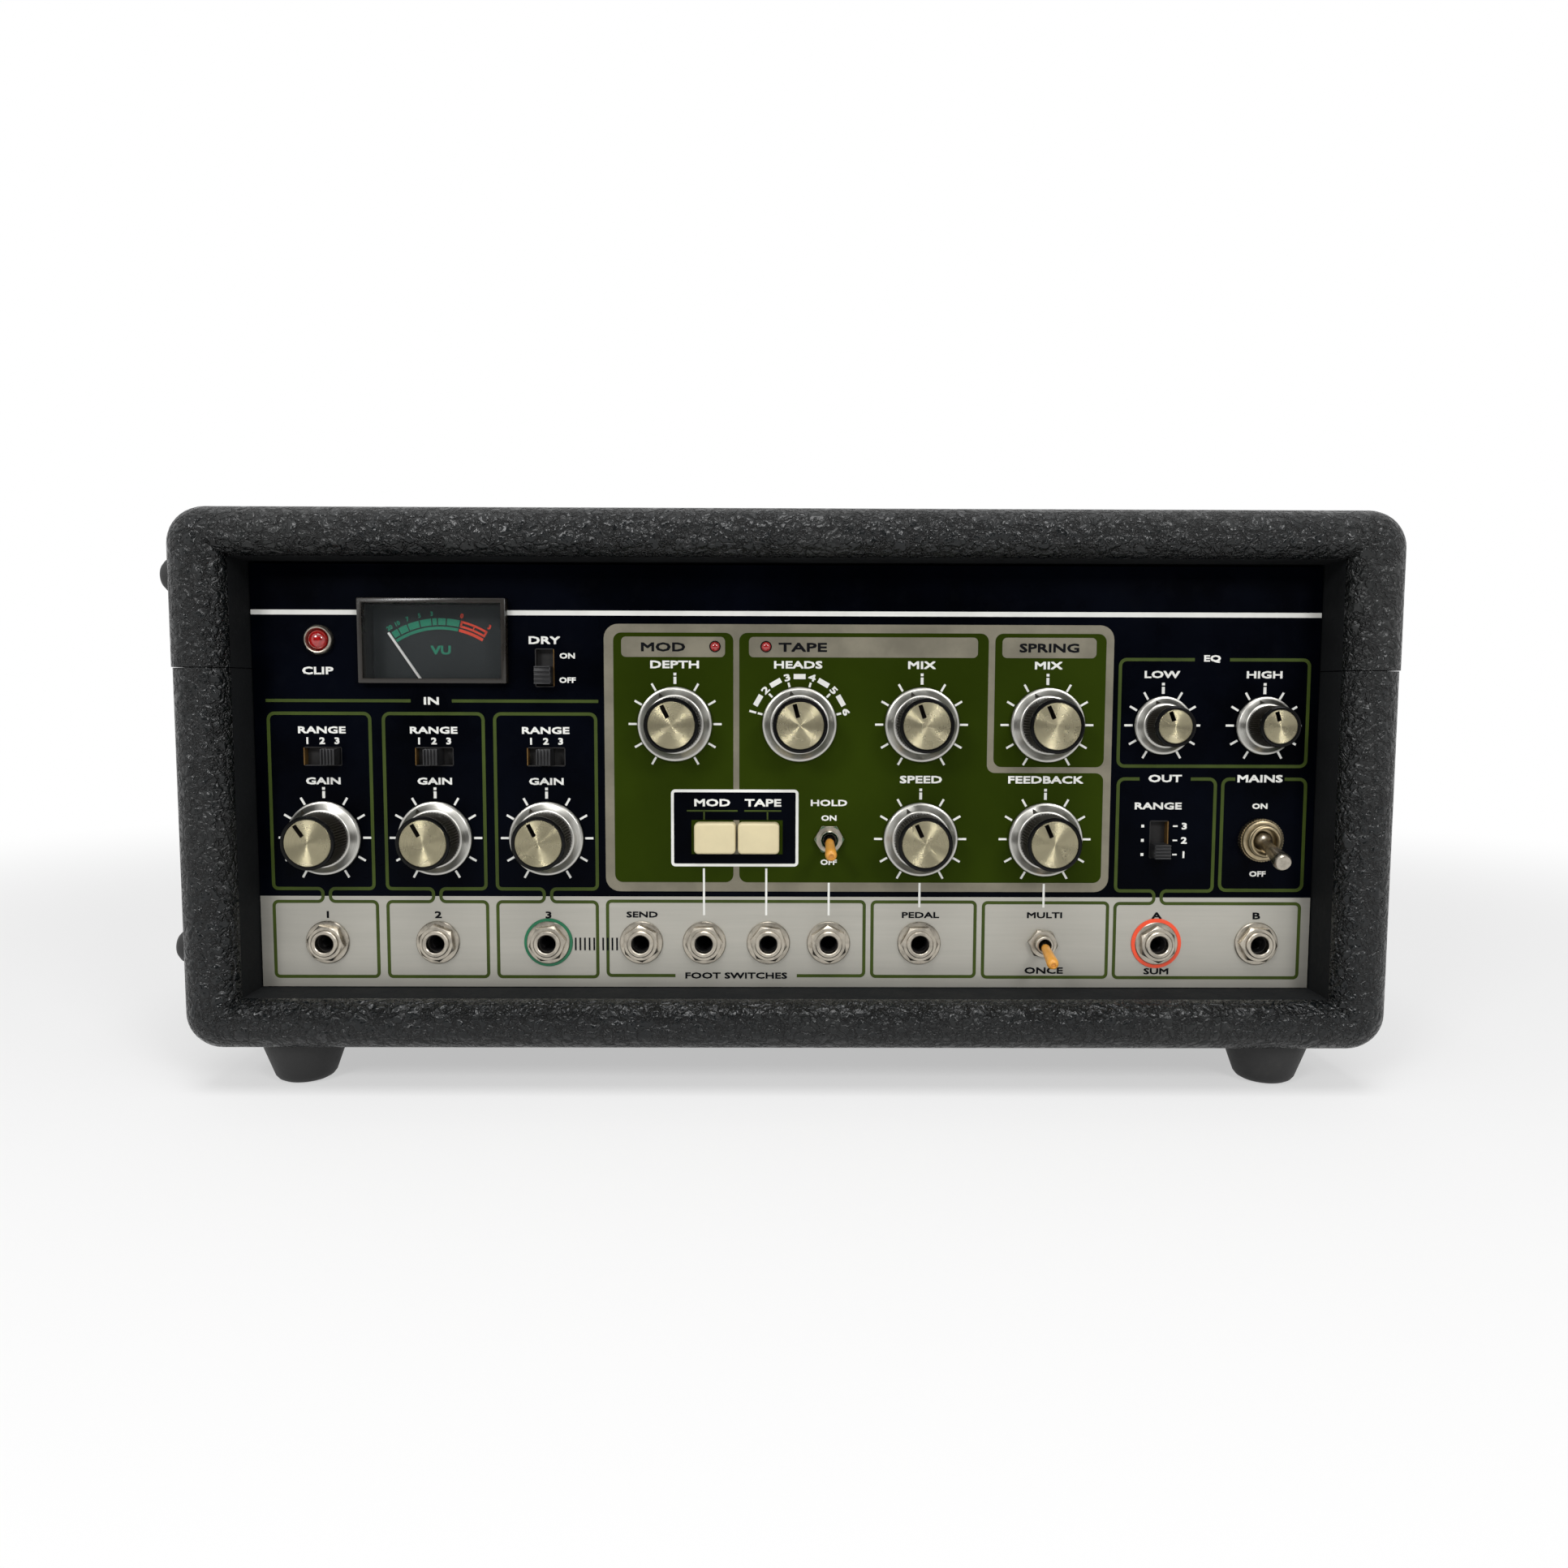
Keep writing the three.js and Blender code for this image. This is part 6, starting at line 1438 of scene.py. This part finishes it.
# %% Level meter
METER = (-123.6, 99.5)
METER_WINDOW = (-123.6, 123.4)
METER_SIZE = (51.2, 29.2)
DIAL_TOP, DIAL_INK, DIAL_SINK = drawn_box("vu_dial")[1].z, 0.05, 0.02
SCALE, RAIL, FINE = (29.9, 32.3), (28.3, 29.35), 0.75
SCALE_START, GREEN_END, RED_START, RED_END = -33.0, 12.6, 13.4, 31.5
SCALE_MARKS = (SCALE_START, -28.0, -21.5, -13.5, -5.5, -1.8, 4.0, 13.0)
RED_RUNGS, RUNG = ((RED_START, 14.6), (22.2, 22.9), (30.3, RED_END)), (30.2, 32.0)
GREEN_NUMBERS = (("20", -32.0), ("10", -26.5), ("7", -20.0), ("5", -12.5), ("3", -5.0))
RED_NUMBERS = (("0", 13.2), ("3", 31.0))
NUMBERS_AT, DEGREES_PER_STEP = 34.0, 1.5
BEZEL_OVER, BEZEL_FRAME, BEZEL_TOP, BEZEL_ROUND = 0.2, 1.75, 3.8, 0.5


def arc(r0, r1, start, end):
    """A band round zero, from one angle to another, clockwise from the top."""
    bm = bmesh.new()
    steps = max(1, int(abs(end - start) / DEGREES_PER_STEP))
    bmesh.ops.create_grid(bm, x_segments=steps, y_segments=1, size=0.5)
    for v in bm.verts:
        angle = start + (v.co.x + 0.5) * (end - start)
        v.co = (*around(r0 + (v.co.y + 0.5) * (r1 - r0), angle), 0.0)
    return bm


def round_numbers(ink, numbers, height):
    for text, angle in numbers:
        across, up = around(NUMBERS_AT, angle)
        ink.write(text, METER[0] + across, METER[1] + up, height, stretch=1.0, turn=-angle)


def add_dial():
    green = Ink("dial_green", METER_GREEN, DIAL_TOP + DIAL_INK)
    for start, end in zip(SCALE_MARKS, SCALE_MARKS[1:]):
        green.add(arc(*SCALE, start + 0.45, end - 0.35), *METER)
    green.add(arc(*RAIL, SCALE_START, GREEN_END), *METER)
    round_numbers(green, GREEN_NUMBERS, 1.6)
    green.write("VU", METER[0], METER[1] + 21.0, 3.2, 7.2)
    green.lay(sink=DIAL_SINK - DIAL_TOP)
    red = Ink("dial_red", METER_RED, DIAL_TOP + DIAL_INK)
    for r0, r1 in ((SCALE[1] - FINE, SCALE[1]), (SCALE[0], SCALE[0] + FINE), RAIL):
        red.add(arc(r0, r1, RED_START, RED_END), *METER)
    for start, end in RED_RUNGS:
        red.add(arc(*RUNG, start, end), *METER)
    round_numbers(red, RED_NUMBERS, 1.7)
    red.lay(sink=DIAL_SINK - DIAL_TOP)


def add_bezel():
    middle, half = Vector(METER_WINDOW), Vector(METER_SIZE) / 2 + Vector((BEZEL_OVER, BEZEL_OVER))
    open_half = half - Vector((BEZEL_FRAME, BEZEL_FRAME))
    bezel = block((*(middle - half), 0.05), (*(middle + half), BEZEL_TOP), BEZEL_ROUND)
    opening = block((*(middle - open_half), -2.0), (*(middle + open_half), 6.0))
    add_piece("meter_bezel", carved(bezel, opening), [BEZEL_BROWN])


add_dial()
add_bezel()
print("meter ready")

# %% [markdown]
# The feet are rubber, turned from a half profile: four tapered ones below and four domes on the side.

# %% Feet
def lower_foot(height):
    return spun([(0.0, 0.0), (6.6, 0.0), (8.2, 0.25), (9.5, 0.95), (10.5, 2.2), (11.0, 3.6), (14.2, 12.6),
                 (14.9, 14.6), (15.0, height), (0.0, height)], 64)


def side_foot(reach):
    return spun([(0.0, reach), (2.6, reach - 0.1), (4.3, reach - 0.8), (5.7, reach - 2.2),
                 (6.6, reach - 4.2), (7.0, 1.6), (7.0, 0.0), (0.0, 0.0)], 48)


def add_feet():
    for name in [n for n in nodes if "foot_" in n]:
        low, high = (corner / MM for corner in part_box(name))
        middle, body = (low + high) / 2, "case"
        if name.startswith("foot_"):
            foot = lower_foot(high.z - low.z)
            place = METRES @ Matrix.Translation((middle.x, middle.y, low.z))
        else:
            foot = side_foot(high.x - low.x)
            place = (METRES @ Matrix.Translation((high.x, middle.y, middle.z))
                     @ Matrix.Rotation(-math.pi / 2, 4, "Y"))
            body = "lid" if "upper" in name else "case"
        add_piece(name + "_rubber", foot, [BLACK_RUBBER], place, body, replaces=[name])


add_feet()
print("feet ready")

# %% [markdown]
# The fastenings behind. Pan-head screws with a cross recess hold the back panel, and smaller ones
# hold both leaves of the hinge. Each screw is turned by its own angle.

# %% Screws behind
PANEL_SCREW, LEAF_SCREW = (3.3, 1.9), (2.4, 1.0)
PANEL_INSET, PANEL_SHARES = 5.5, (-0.5, -0.17, 0.17, 0.5)
LEAF_INSET, LEAF_SCREWS = 6.0, 6


def screw(radius, height):
    """A domed head with a cross cut into it, standing on zero."""
    head = spun([(0.0, -0.1), (radius, -0.1), (radius, 0.35 * height), (0.86 * radius, 0.72 * height),
                 (0.5 * radius, 0.95 * height), (0.0, height)], 28)
    reach, half = 0.62 * radius, 0.13 * radius
    cross = block((-reach, -half, 0.35 * height), (reach, half, 2 * height))
    cross = carved(cross, block((-half, -reach, 0.35 * height), (half, reach, 2 * height)), "UNION")
    return carved(head, cross)


def screw_row(name, body, radius, height, spots):
    """Screws at places on the rear, each given as (x, y, z) in millimetres."""
    bm = bmesh.new()
    for spot in spots:
        turn = Matrix.Rotation(random.uniform(0, math.pi), 4, "Z")
        absorb(bm, screw(radius, height),
               Matrix.Translation(spot) @ Matrix.Rotation(-math.pi / 2, 4, "X") @ turn)
    add_piece(name, bm, [STEEL], METRES, body)


def leaf_face(name, upper):
    """The rear face of a hinge leaf's plate, and the height of the middle of the plate."""
    low, high = (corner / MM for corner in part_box(name))
    edge, away = (high.z, -1.0) if upper else (low.z, 1.0)
    points = [v.co / MM for v in nodes[name].data.vertices]
    face = max(p.y for p in points if abs(p.z - edge) < 0.5)
    return low.x, high.x, face, edge + away * LEAF_INSET


def add_screws():
    random.seed(11)
    low, high = (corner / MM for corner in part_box("back_panel"))
    middle, span = (low.x + high.x) / 2, high.x - low.x - 2 * PANEL_INSET
    spots = [(middle + span * share, high.y, z) for share in PANEL_SHARES
             for z in (low.z + PANEL_INSET, high.z - PANEL_INSET)]
    screw_row("back_panel_screws", "case", *PANEL_SCREW, spots)
    for name, body, upper in (("hinge_base_leaf", "case", False), ("hinge_lid_leaf", "lid", True)):
        x0, x1, face, z = leaf_face(name, upper)
        spots = [(x0 + (x1 - x0) * (i + 0.5) / LEAF_SCREWS, face, z) for i in range(LEAF_SCREWS)]
        screw_row(name + "_screws", body, *LEAF_SCREW, spots)


add_screws()
print("screws ready")

# %% [markdown]
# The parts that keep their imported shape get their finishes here, by name. The other parts were
# replaced by the pieces above.

# %% Finishes of the remaining parts
def dress(finish, *names):
    for name in names:
        for slot in nodes[name].material_slots:
            slot.material = finish


dress(BLACK_PANEL, "front_panel")
dress(BLACK_SHEET, "back_panel", "pinch_arm")
dress(ZINC_SHEET, "chassis", "reverb_tank")
dress(STEEL, "hinge_base_leaf", "hinge_lid_leaf", "drive_motor", "head_bridge", "capstan")
dress(DECK_METAL, "deck_plate")
dress(BOARD_GREEN, "control_board", "main_circuit_board")
dress(LAMINATED, "power_transformer")
dress(BLACK_RUBBER, "cord_gland", "pinch_roller")
dress(BLACK_PLASTIC, "handle_dish", "handle_bail", "vu_meter_case")
dress(CLEAR_WINDOW, "vu_window")
dress(CLEAR_COVER, "tape_cover")
dress(DIAL_GREY, "vu_dial")
dress(NEEDLE_WHITE, "vu_needle")
dress(TAPE_BROWN, "tape_loop")
print("finishes given")

# %% [markdown]
# The last cell compares the size of the finished model with the size of the imported parts and prints
# how much it grew.

# %% Note the growth and finish
new_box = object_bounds()
growth = [[round((b - a) / MM, 2) for a, b in zip(old, new)] for old, new in zip(cad_box, new_box)]
print("grown by", growth)
